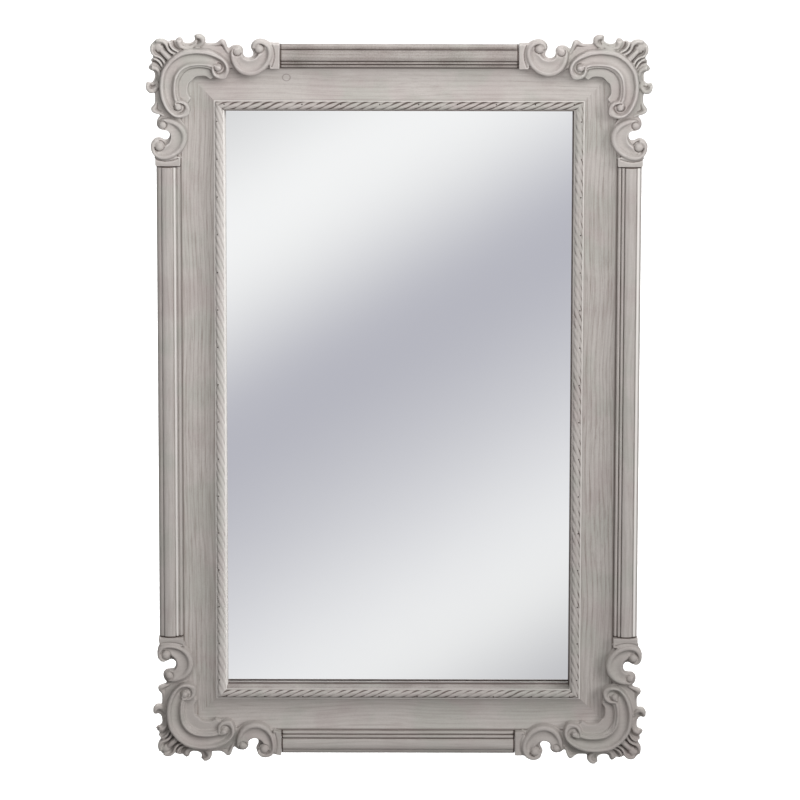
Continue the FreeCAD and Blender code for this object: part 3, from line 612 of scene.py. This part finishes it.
def plain_liner(fillet, foot, wall, edge):
    """The rest of the liner's section: its lip, its inner side down to the glass, its back."""
    return (
        (SIGHT_EDGE - 1.2, LINER_TOP, -0.4),
        (SIGHT_EDGE - 0.9, LINER_TOP, edge),
        (SIGHT_EDGE, LINER_TOP - EASED, edge),
        (SIGHT_EDGE, LIP_FOOT, edge),
        (SIGHT_EDGE - 0.1, LIP_FOOT - 0.05, LIP_SHADE),
        (SIGHT_EDGE - LIP_REACH, LIP_FOOT - 0.1, LIP_SHADE),
        (SIGHT_EDGE - LIP_REACH, LIP_FOOT - 0.5, wall),
        (SIGHT_EDGE + SIGHT_LEAN * 0.5, GLASS_FRONT + 5, wall),
        (SIGHT_EDGE + SIGHT_LEAN, GLASS_FRONT + 0.8, max(wall, foot)),
        (SIGHT_EDGE + SIGHT_LEAN, GLASS_FRONT, foot),
        (NOSE_EDGE, GLASS_FRONT, 0),
        (NOSE_EDGE, LINER_SEAT, 0),
        (LINER_START, LINER_SEAT, 0),
        (LINER_START, LINER_TOP - EASED, 0.3),
        (LINER_START + 0.5, LINER_TOP, fillet),
        (BEAD_START - 0.5, LINER_TOP, fillet),
    )


for side, (angle, half, reach) in SIDES.items():
    rows = int(2 * (half - LINER_START) / STRAND_PITCH * STEPS_PER_STRAND)
    seed = angle / 40 + 0.6
    # Its last values paint shade and highlights on the plain liner, as listed above.
    depth, rope_wash, lightening, *plain_wash_and_light = LINER_WASH_AND_LIGHT[side]
    rest = plain_liner(*plain_wash_and_light)

    def liner_place(row, column):
        share = 2 * row / (rows - 1) - 1
        if column <= BEAD_STEPS:
            turn = column / BEAD_STEPS
            along = share * (half - BEAD_START - BEAD_HALF * 2 * turn)
            inward, height, hollow = bead_point(along, turn, seed, depth, rope_wash, lightening)
        else:
            inward, height, hollow = rest[column - BEAD_STEPS - 1]
        along = share * (half - inward)
        return stick_point(angle, reach, along, inward, height), hollow

    form = bmesh.new()
    skin(form, rows, BEAD_STEPS + 1 + len(rest), liner_place)
    material = wood_across if side in ("top", "bottom") else strip_upright
    finished(f"{side}_liner_wood", form, material, f"{side}_rope_liner")


# The brads: pins of dark annealed wire, driven through the rope into the moulding. Their
# ends stand just proud of the wood.
BRAD_PITCH = 46
BRAD_INWARD = 4.375
BRAD_RADIUS = 1.0
BRAD_TAPER = 0.8
BRAD_LENGTH = 4
BRAD_PROUD = 0.3

dark_steel, shader, place = new_finish("dark_steel", Metallic=0.2)
rust = place.noise(900.0, 2.0)
rusted = rust.blend(colour(38, 33, 30), colour(66, 54, 48))
feed(shader, Base_Color=rusted, Roughness=0.5 + rust * 0.3)
form = bmesh.new()
across = BEAD_HALF - BRAD_INWARD + BEAD_START - LINER_START
turn = math.acos(across / BEAD_HALF) / math.pi
facing = Matrix.Rotation(math.radians(90), 4, "X")
for angle, half, reach in SIDES.values():
    gaps = int((2 * half - 2 * SIGHT_EDGE) / BRAD_PITCH + 0.01)
    for step in range(gaps + 1):
        along = (step - gaps / 2) * BRAD_PITCH
        height = bead_point(along, turn)[1] + BRAD_PROUD
        top = stick_point(angle, reach, along, LINER_START + BRAD_INWARD, height)
        middle = Matrix.Translation(top + Vector((0, BRAD_LENGTH / 2, 0)))
        bmesh.ops.create_cone(
            form,
            cap_ends=True,
            segments=12,
            radius1=BRAD_RADIUS,
            radius2=BRAD_RADIUS * BRAD_TAPER,
            depth=BRAD_LENGTH,
            matrix=middle @ facing,
        )
finished("rope_pins", form, dark_steel, "rope_brads")


# The carved corners: one design in soft wood, carved for the upper left and turned to the
# others. It is built up from a ground, scrolls, ridges and balls, worked into one skin and
# grooved with a gouge. Each is screwed on from behind.
# How far off the back the ledge under the carving lies, how finely the carving is worked,
# both in millimetres, and how much wider than its crest a ridge stands at its foot.
LEDGE = 22
VOXEL = 0.68
RIDGE_SPREAD = 1.25


def smooth_line(points, steps, closed=False):
    """A smooth line through points of any number of values."""
    knots = np.array(points, float)
    count = len(knots)
    line = []
    for span in range(count if closed else count - 1):
        around = np.arange(span - 1, span + 3)
        around = around % count if closed else np.clip(around, 0, count - 1)
        before, start, end, after = knots[around]
        bend = 2 * before - 5 * start + 4 * end - after
        twist = 3 * start - before - 3 * end + after
        for step in range(steps):
            t = step / steps
            line.append(0.5 * (2 * start + (end - before) * t + bend * t * t + twist * t ** 3))
    if not closed:
        line.append(knots[-1])
    return line


def ridge(form, points, foot=4.0, steps=6, cap=9):
    """A rounded ridge along a line of (across, down, half width, top)."""
    line = smooth_line(points, steps)

    def ridge_place(row, column):
        u, v, half, top = line[row]
        before, after = line[max(row - 1, 0)], line[min(row + 1, len(line) - 1)]
        run = Vector((after[0] - before[0], after[1] - before[1])).normalized()
        if column < cap:
            turn = math.pi * column / (cap - 1)
            side, rise = half * math.cos(turn), top - half * (1 - math.sin(turn))
        else:
            side, rise = half * (-RIDGE_SPREAD if column == cap else RIDGE_SPREAD), foot
        return Vector((u - run.y * side, v + run.x * side, rise)), 0

    skin(form, len(line), cap + 2, ridge_place)


def ball(form, u, v, radius, top, squash=0.8):
    """A rounded boss, flattened a little."""
    middle = Matrix.Translation((u, v, top - radius * squash))
    shape = middle @ Matrix.Diagonal((1, 1, squash, 1))
    bmesh.ops.create_uvsphere(form, u_segments=24, v_segments=14, radius=radius, matrix=shape)


def plate(form, outline, top, foot=-0.3, soft=1.3, under=2.2, steps=4):
    """A level of the carving: a face with softened upper edges that falls back below."""
    belt = (top * 2 + foot) / 3
    line = smooth_line(outline, steps, closed=True)
    face = form.faces.new([form.verts.new((u, v, belt)) for u, v in line])
    raised = bmesh.ops.extrude_face_region(form, geom=[face])["geom"]
    upper_face = next(item for item in raised if isinstance(item, bmesh.types.BMFace))
    for base, rise, inset in ((upper_face, top - belt, soft), (face, foot - belt, under)):
        bmesh.ops.inset_region(
            form, faces=[base], thickness=inset, use_even_offset=False, use_boundary=True
        )
        bmesh.ops.translate(form, verts=base.verts, vec=(0, 0, rise))


def swapped(points):
    """The same points on the other arm."""
    return [(point[1], point[0], *point[2:]) for point in points]


def mirrored(points):
    """A closed outline, from its half on one side of the diagonal."""
    return list(points) + swapped(points[1:-1])[::-1]


def both_arms(points):
    """Carry a line that starts on the diagonal round both arms."""
    return swapped(points)[::-1] + list(points[1:])


# The levels, as half outlines of points across and down from the corner, in millimetres.
# The ground's outer edge and the edge that returns along the hollow:
GROUND = (
    (-2.2, -2.2), (0.6, -4.8), (4.0, -6.2), (10.2, -6.0), (14.2, -3.6), (16.4, -2.6),
    (19.5, -5.4), (23.4, -4.4), (25.6, -6.8), (29.0, -8.4), (31.9, -6.4), (33.5, -2.4),
    (37.5, -0.9), (43.5, -2.0), (46.6, -5.0), (45.9, -9.8), (48.6, -11.4), (52.6, -11.8),
    (57.4, -9.4), (59.4, -4.8), (59.4, -1.6), (64.0, -0.9), (71.5, -1.2), (75.8, -4.4),
    (79.4, -5.7), (82.4, -2.6), (84.7, 3.2), (87.4, 4.6), (90.0, 2.2), (95.6, 0.7),
    (100.8, 2.0), (104.0, 6.4), (103.6, 11.2), (105.4, 14.6), (110.0, 16.2), (114.4, 14.4),
    (115.4, 10.6), (112.8, 5.0), (113.6, -0.6), (117.6, -4.4), (123.0, -6.4), (130.0, -5.4),
    (136.0, -1.8), (139.0, 0.0),
)
GROUND_RETURN = (
    (139.0, 28.8), (133.6, 29.4), (124.0, 34.8), (112.5, 37.9), (101.0, 37.0), (92.0, 30.6),
    (88.6, 29.0), (87.6, 33.6), (85.0, 38.8), (80.4, 41.6), (74.0, 41.6), (69.0, 41.0),
    (64.4, 42.8), (60.6, 40.0), (56.6, 39.0), (49.0, 39.8), (44.0, 42.2), (43.0, 43.0),
)
SCROLL = (
    (16.7, 16.7), (22.4, 11.9), (29.7, 8.0), (37.0, 5.9), (45.0, 5.0), (56.0, 5.3), (65.8, 6.9),
    (76.0, 11.6), (83.0, 17.6), (86.8, 23.0), (87.6, 29.0), (86.4, 35.0), (83.0, 40.2),
    (77.0, 40.6), (70.6, 38.8), (66.6, 34.0), (65.6, 29.6), (63.5, 28.0), (56.0, 26.6),
    (45.0, 26.9), (38.0, 28.8), (32.0, 32.0),
)
CRESCENT = (
    (31.0, 31.0), (38.0, 27.6), (46.0, 25.6), (57.0, 25.4), (66.0, 28.0), (69.0, 33.0),
    (70.0, 38.0), (67.0, 41.0), (64.4, 41.9), (61.0, 39.4), (56.6, 38.2), (50.0, 38.8),
    (46.6, 40.0), (43.5, 43.5),
)
# The whole outline of the small scroll's bowl on one arm:
BOWL = (
    (92.0, 6.0), (96.0, 3.0), (101.0, 4.0), (103.6, 9.0), (104.6, 14.4), (110.5, 17.4),
    (116.6, 15.6), (120.0, 12.6), (128.0, 2.0), (133.0, -2.4), (138.0, 2.0), (139.0, 9.0),
    (137.6, 17.5), (133.0, 26.0), (125.5, 33.2), (112.5, 37.0), (101.6, 35.6), (94.0, 29.0),
    (90.4, 20.0), (89.6, 12.0),
)
# Ridges: across, down, half width and top over the ledge that the carving sits on.
RIM = (
    (18.8, 18.8, 2.7, 20.6), (30.7, 10.7, 2.7, 20.8), (45.0, 7.7, 2.6, 21.0),
    (56.0, 7.9, 2.6, 21.0), (65.3, 9.7, 2.6, 21.0), (75.0, 14.1, 2.5, 20.8),
    (81.1, 19.4, 2.4, 20.4), (84.4, 24.9, 2.4, 20.0), (84.9, 30.4, 2.4, 19.4),
    (83.4, 34.8, 2.4, 18.6), (80.6, 38.2, 2.3, 18.0), (75.6, 38.2, 2.2, 18.2),
    (71.0, 35.6, 2.0, 18.8), (68.6, 31.2, 1.8, 19.4), (68.8, 26.6, 1.6, 20.0),
    (71.4, 23.0, 1.4, 20.6),
)
RIB = (
    (29.4, 29.4, 2.3, 19.5), (37.0, 24.6, 2.3, 19.7), (45.5, 22.7, 2.3, 19.9),
    (56.0, 22.3, 2.3, 19.9), (63.0, 23.2, 2.1, 19.7), (68.4, 25.8, 1.7, 19.0),
)
SECOND_RIB = (
    (32.6, 32.6, 1.2, 15.6), (39.6, 28.2, 1.2, 15.8), (46.0, 26.4, 1.2, 15.8),
    (56.0, 26.1, 1.2, 15.8), (64.0, 27.6, 1.1, 15.6), (67.6, 30.6, 0.8, 14.6),
)
SMALL_RIM = (
    (94.4, 5.2, 1.6, 14.5), (91.6, 9.0, 2.0, 15.6), (91.8, 15.0, 2.7, 16.6),
    (94.2, 21.7, 3.3, 17.2), (98.4, 27.8, 3.7, 17.4), (104.8, 32.3, 3.9, 17.2),
    (112.5, 33.6, 4.0, 17.0), (120.6, 31.5, 3.9, 17.0), (127.9, 26.0, 3.7, 17.4),
    (133.3, 18.3, 3.2, 17.8), (135.5, 9.6, 2.8, 18.2), (133.6, 2.0, 2.3, 18.4),
    (128.4, -2.6, 2.1, 18.2), (121.8, -3.6, 2.0, 17.8), (117.0, -0.8, 1.8, 17.2),
    (115.6, 3.6, 1.4, 16.6),
)
TONGUE_EDGE = (
    (1.0, -2.6, 1.8, 12.6), (5.0, -4.0, 1.7, 14.0), (9.6, -3.2, 1.6, 14.6),
    (12.9, -0.4, 1.5, 14.6), (14.4, 3.6, 1.4, 14.4), (16.8, 7.4, 1.4, 14.2),
    (20.6, 10.2, 1.3, 14.0), (25.6, 11.6, 1.1, 13.6),
)
TONGUE_DROP = (
    (6.6, 6.6, 2.4, 13.4), (11.0, 11.0, 3.0, 14.8), (15.5, 15.5, 3.2, 15.4),
    (18.0, 18.0, 2.4, 14.4),
)
LEAF_RIDGES = (
    ((16.8, -2.6, 1.5, 12.4), (18.0, 1.0, 1.4, 13.2), (21.2, 5.2, 1.3, 13.6),
     (27.4, 8.6, 1.1, 13.2)),
    ((28.2, -4.6, 3.2, 12.8), (28.6, -0.6, 2.9, 13.0), (31.4, 3.2, 2.0, 12.6),
     (37.4, 4.4, 1.3, 11.6), (44.0, 3.6, 0.9, 10.0)),
    ((47.6, 2.8, 1.4, 9.6), (52.0, 1.2, 2.2, 11.6), (55.8, -2.4, 2.7, 13.4),
     (55.8, -6.4, 2.6, 14.2), (52.4, -9.2, 2.1, 14.4), (48.6, -9.2, 1.7, 13.2)),
    ((69.0, 1.4, 1.0, 9.0), (74.6, -0.4, 1.6, 10.8), (79.2, -2.6, 2.4, 12.8),
     (81.8, 0.6, 2.0, 12.6), (83.8, 5.6, 1.6, 11.4), (86.6, 10.4, 1.2, 10.4)),
)
# Gouge cuts: across, down, half width and depth. The channel is the main scroll's.
CHANNEL = (
    (24.9, 24.9, 7.6, 3.0), (34.6, 18.0, 7.6, 3.0), (45.5, 15.4, 7.4, 3.0),
    (56.0, 15.4, 7.0, 3.0), (65.0, 16.9, 6.4, 3.0), (73.4, 19.2, 5.2, 3.0),
    (78.6, 22.2, 4.2, 3.0), (80.8, 26.8, 3.6, 3.0), (79.6, 31.4, 3.0, 3.0),
    (76.0, 33.8, 2.4, 3.0), (72.4, 32.8, 2.0, 2.6), (70.4, 30.0, 1.4, 1.6),
)
CUTS = (
    ((7.4, 0.7, 1.7, 2.2), (9.6, 1.8, 1.5, 2.8), (11.6, 5.2, 1.4, 2.8), (13.6, 8.2, 1.3, 2.6),
     (17.0, 11.4, 1.3, 2.4), (20.6, 14.0, 1.2, 1.6)),
    ((15.2, -2.4, 1.0, 1.8), (16.2, 2.2, 1.0, 2.4), (19.0, 6.2, 1.0, 2.4),
     (24.4, 9.8, 0.9, 1.8)),
    ((21.4, -2.6, 2.0, 1.8), (22.4, 1.4, 2.0, 2.6), (25.0, 4.8, 1.6, 2.4),
     (28.6, 6.6, 1.0, 1.4)),
    ((49.2, -5.4, 1.4, 0.9), (50.6, -4.4, 1.6, 1.1), (49.4, -1.0, 1.6, 0.8)),
    ((66.0, 2.2, 1.0, 0.5), (74.0, 2.4, 1.3, 0.9), (78.6, 2.4, 1.3, 1.0), (81.0, 6.4, 1.1, 0.8)),
    ((36.0, 0.6, 1.4, 0.8), (42.0, 0.8, 1.6, 1.2), (47.0, -1.6, 1.2, 1.0)),
    ((98.0, 15.0, 4.6, 0.6), (101.5, 22.0, 6.4, 1.5), (111.5, 25.4, 7.4, 1.9),
     (122.0, 22.4, 7.0, 2.0), (128.0, 14.0, 5.4, 2.0), (129.4, 7.0, 3.2, 1.6)),
    ((31.2, 31.2, 1.2, 1.2), (38.4, 26.8, 1.2, 1.2), (46.0, 25.0, 1.2, 1.2),
     (56.0, 24.6, 1.2, 1.2), (66.0, 26.6, 1.1, 1.0)),
    ((137.6, -1.0, 1.0, 2.0), (139.9, 5.0, 1.0, 2.4), (140.6, 12.0, 1.0, 2.4),
     (139.8, 19.0, 1.0, 2.4), (137.4, 26.0, 1.0, 2.4)),
)
# The eyes of the scrolls: across, down, radius and top, and the groove turned round each:
# its radius, where it starts and how far it goes, in degrees. Then the steps, the half
# width and the depth of all these grooves.
EYES = (
    (74.2, 26.4, 4.3, 21.0, 4.9, -95, 290),
    (96.8, 8.2, 4.4, 17.4, 4.8, 20, 250),
    (122.6, 4.2, 5.0, 18.8, 5.7, -80, 250),
)
EYE_STEPS = 12
EYE_GROOVE = (1.1, 2.2)
# Each eye sits on a ball that is so much wider, and so much lower.
EYE_SEAT_WIDER = 1.3
EYE_SEAT_LOWER = 1.6
COLLAR_MIDDLE = (141.0, 14.1)
COLLAR_SIZE = (11.6, 29.7)
COLLAR_RISE = 14.4
CORNER_BALL = (3.6, 3.6, 6.4, 12.8)

form = bmesh.new()
plate(form, mirrored(GROUND + GROUND_RETURN), top=8.6)
plate(form, mirrored(SCROLL), top=17.6, foot=4, soft=0.5, under=0.4)
plate(form, mirrored(CRESCENT), top=12.0, foot=2, soft=0.5, under=0.4)
for arm in (list, swapped):
    plate(form, arm(BOWL), top=15.4, foot=2, soft=1.0, under=0.4)
    for line in (RIM, RIB, SECOND_RIB, SMALL_RIM, TONGUE_EDGE, TONGUE_DROP, *LEAF_RIDGES):
        ridge(form, arm(line))
    for u, v, radius, top, *_ in EYES:
        ball(form, *arm([(u, v)])[0], radius, top)
        ball(form, *arm([(u, v)])[0], radius + EYE_SEAT_WIDER, top - EYE_SEAT_LOWER)
    size, middle = arm([COLLAR_SIZE])[0], arm([COLLAR_MIDDLE])[0]
    collar = bmesh.ops.create_cube(form, size=1)["verts"]
    bmesh.ops.scale(form, verts=collar, vec=(*size, COLLAR_RISE))
    bmesh.ops.translate(form, verts=collar, vec=(*middle, COLLAR_RISE / 2))
    edges = [edge for edge in form.edges if edge.verts[0] in collar]
    bmesh.ops.bevel(
        form, geom=edges, offset=0.6, segments=2, profile=0.5, affect="EDGES", material=-1
    )
ball(form, *CORNER_BALL, squash=0.7)
bmesh.ops.recalc_face_normals(form, faces=form.faces)
bmesh.ops.triangulate(form, faces=form.faces, quad_method="BEAUTY", ngon_method="BEAUTY")
rough = bpy.data.objects.new("carving_blank", bpy.data.meshes.new("carving_blank"))
form.to_mesh(rough.data)
form.free()
scene.collection.objects.link(rough)
joining = rough.modifiers.new("one_skin", "REMESH")
joining.mode = "VOXEL"
joining.voxel_size = VOXEL
evaluated = rough.evaluated_get(bpy.context.evaluated_depsgraph_get())
carved = bpy.data.meshes.new_from_object(evaluated)
bpy.data.objects.remove(rough)


def sanded(data, rounds):
    """Smooth a mesh, round after round."""
    form = bmesh.new()
    form.from_mesh(data)
    axes = {"use_axis_x": True, "use_axis_y": True, "use_axis_z": True}
    for _ in range(rounds):
        bmesh.ops.smooth_vert(form, verts=form.verts, factor=0.5, **axes)
    form.to_mesh(data)
    form.free()


def vertex_values(data, name):
    """The places or the normals of a mesh's vertices, a row each."""
    values = np.empty(len(data.vertices) * 3)
    data.vertices.foreach_get(name, values)
    return values.reshape(-1, 3)


def gouge(points, normals, line, steps=6):
    """Lower the front along a line of (across, down, half width, depth)."""
    cut = np.array(smooth_line(line, steps))
    reach = cut[:, 2].max() + 1
    low, high = cut[:, :2].min(0) - reach, cut[:, :2].max(0) + reach
    near = np.all((points[:, :2] > low) & (points[:, :2] < high), axis=1)
    chosen = np.nonzero(near & (normals[:, 2] > 0.1))[0]
    away = np.linalg.norm(points[chosen, None, :2] - cut[None, :, :2], axis=2)
    nearest = (away / cut[None, :, 2]).argmin(axis=1)
    share = away[np.arange(len(chosen)), nearest] / cut[nearest, 2]
    depth = cut[nearest, 3] * np.clip(1 - share ** 2, 0, 1) ** 1.5
    points[chosen, 2] -= depth * np.clip(normals[chosen, 2] * 1.5, 0, 1)


ROUGH_ROUNDS = 4
LAST_ROUNDS = 1

sanded(carved, ROUGH_ROUNDS)
points, normals = vertex_values(carved, "co"), vertex_values(carved, "normal")
for line in (*CUTS, CHANNEL):
    if line[0][0] == line[0][1]:
        gouge(points, normals, both_arms(line))
        continue
    for arm in (list, swapped):
        gouge(points, normals, arm(line))
for u, v, _, _, radius, begin, sweep in EYES:
    turns = [math.radians(begin + sweep * step / EYE_STEPS) for step in range(EYE_STEPS + 1)]
    groove = [
        (u + radius * math.cos(turn), v + radius * math.sin(turn), *EYE_GROOVE)
        for turn in turns
    ]
    for arm in (list, swapped):
        gouge(points, normals, arm(groove))
carved.vertices.foreach_set("co", points.ravel())
sanded(carved, LAST_ROUNDS)
points, normals = vertex_values(carved, "co"), vertex_values(carved, "normal")

# How hollow each point of the carving lies, from how far its neighbourhood, after some
# rounds of averaging, stands over it. So many millimetres count as fully hollow.
HOLLOW_ROUNDS = 6
HOLLOW_FULL = 0.36
ends = np.empty(len(carved.edges) * 2, dtype=np.int32)
carved.edges.foreach_get("vertices", ends)
first, last = ends[0::2], ends[1::2]
total = len(points)
count = np.bincount(first, minlength=total) + np.bincount(last, minlength=total)
spread = points.copy()
for _ in range(HOLLOW_ROUNDS):
    spread = np.column_stack([
        np.bincount(first, level[last], total) + np.bincount(last, level[first], total)
        for level in spread.T
    ]) / count[:, None]
hollow = np.clip(((spread - points) * normals).sum(axis=1) / HOLLOW_FULL, -1, 1)
carved.attributes.new("hollow", "FLOAT", "POINT")
for face in carved.polygons:
    face.use_smooth = True

upper_carved = limed_wood("limed_wood_upper_carvings", "X", grain=0.25, darkening=0.06, seams=False)
# The lower carvings' copy is darker all over: painted shade.
shaded_lower_carved = limed_wood("limed_wood_lower_carvings_shaded", "X", grain=0.25, darkening=0.2, seams=False)
# Each corner's turn about Y, its place, its finish, how much of the dark wash is left on it, and
# how far off its place its scrolls were carved, the collars apart. Below 0, on the lower corners,
# the share turns the wash round: hollows painted lighter and crests darker, painted light that
# evens out their shading; and their finish is painted darker all over, painted shade.
CORNERS = {
    "upper_left": (0, (-288, 438), upper_carved, 0.72, (0, 0)),
    "upper_right": (90, (288, 438), upper_carved, 0.72, (0, 0)),
    "lower_right": (180, (288, -438), shaded_lower_carved, -0.3, (0, 0)),
    "lower_left": (270, (-288, -438), shaded_lower_carved, -0.3, (2.8, 3.4)),
}
SCROLLS_END = 126
COLLAR_END = 146.8
# From across, down and rise to the frame's axes.
LAY_FLAT = Matrix(((1, 0, 0, 0), (0, 0, -1, -LEDGE), (0, -1, 0, 0), (0, 0, 0, 1)))

beyond = np.clip((points[:, :2].max(axis=1) - SCROLLS_END) / (COLLAR_END - SCROLLS_END), 0, 1)
follows = 1 - beyond * beyond * (3 - 2 * beyond)
for corner, (angle, (x, z), carved_wood, wash_or_painted_light_share, astray) in CORNERS.items():
    data = carved.copy()
    moved = points.copy()
    moved[:, :2] += np.outer(follows, astray)
    data.vertices.foreach_set("co", moved.ravel())
    data.attributes["hollow"].data.foreach_set("value", hollow * wash_or_painted_light_share)
    data.name = f"{corner}_scrolls"
    stand = Matrix.Translation((x, 0, z)) @ Matrix.Rotation(math.radians(angle), 4, "Y") @ LAY_FLAT
    data.transform(Matrix.Scale(MM, 4) @ stand)
    data.materials.append(carved_wood)
    piece = bpy.data.objects.new(f"{corner}_scrolls", data)
    scene.collection.objects.link(piece)
    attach(piece, "frame")
    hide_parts(f"{corner}_carving")


# The mitre tongues: loose slips of plain beech, planed and glued across the joints of the
# mouldings. All but hidden once the frame is together.
plain_wood, shader, place = new_finish("plain_wood", Roughness=0.6)
lying = place.node("ShaderNodeMapping", None, {"Vector": place, "Scale": (1, 1, 0.08)})
streak = lying.noise(420.0, 3.0)
feed(shader, Base_Color=streak.blend(colour(196, 160, 118), colour(164, 122, 82)))
dress(plain_wood, *(f"{corner}_mitre_tongue" for corner in CORNERS))


# The mirror: 4 mm silvered glass, flat and clean, with the faintest veil on its face. It
# lies in its rebate behind the liners, held by the board.
silvered, shader, place = new_finish("silvered_glass", Metallic=1.0)
veil = place.noise(7.0, 3.0)
feed(
    shader,
    Base_Color=veil.blend(colour(246, 247, 248), colour(249, 250, 250)),
    Roughness=0.012 + veil.ease(0.45, 0.75) * 0.012,
)
dress(silvered, "mirror_glass")


# The backing board: 3 mm hardboard, smooth and brown, cut square and screwed into the
# wider rebate behind the glass.
hardboard, shader, place = new_finish("hardboard", Specular_IOR_Level=0.35)
fibre = place.noise(260.0, 5.0, Roughness=0.7)
stain = place.noise(5.0, 2.0)
brown = stain.ease(0.4, 0.65).blend(colour(126, 92, 62), colour(110, 78, 52))
feed(
    shader,
    Base_Color=(fibre.ease(0.4, 0.7) * 0.35).blend(brown, colour(82, 56, 36)),
    Roughness=0.55 + fibre * 0.2,
    Normal=fibre.bump(0.2, 0.0004),
)
dress(hardboard, "backing_board")


# The screws, straps and rings: steel with bright zinc plate, a little clouded. The straps
# are screwed to the stiles, and each ring turns in its strap's rolled knuckle.
zinc, shader, place = new_finish("zinc_steel", Metallic=1.0)
bloom = place.noise(340.0, 3.0)
feed(
    shader,
    Base_Color=bloom.ease(0.35, 0.7).blend(colour(206, 208, 212), colour(172, 175, 178)),
    Roughness=0.26 + bloom * 0.22,
)
dress(zinc, "backing_screws", "carving_screws", "hanger_screws")
for hand in ("left", "right"):
    dress(zinc, f"{hand}_hanger_strap", f"{hand}_hanger_ring")


# The bumpers: discs of pressed dark felt, stuck on near the corners of the back. They
# hold the frame off the wall.
felt, shader, place = new_finish("felt", Roughness=0.95, Specular_IOR_Level=0.1)
nap = place.noise(1500.0, 4.0, Roughness=0.8)
feed(
    shader,
    Base_Color=nap.blend(colour(72, 66, 60), colour(104, 97, 90)),
    Normal=nap.bump(0.6, 0.0004),
)
dress(felt, *(f"{corner}_bumper" for corner in CORNERS))
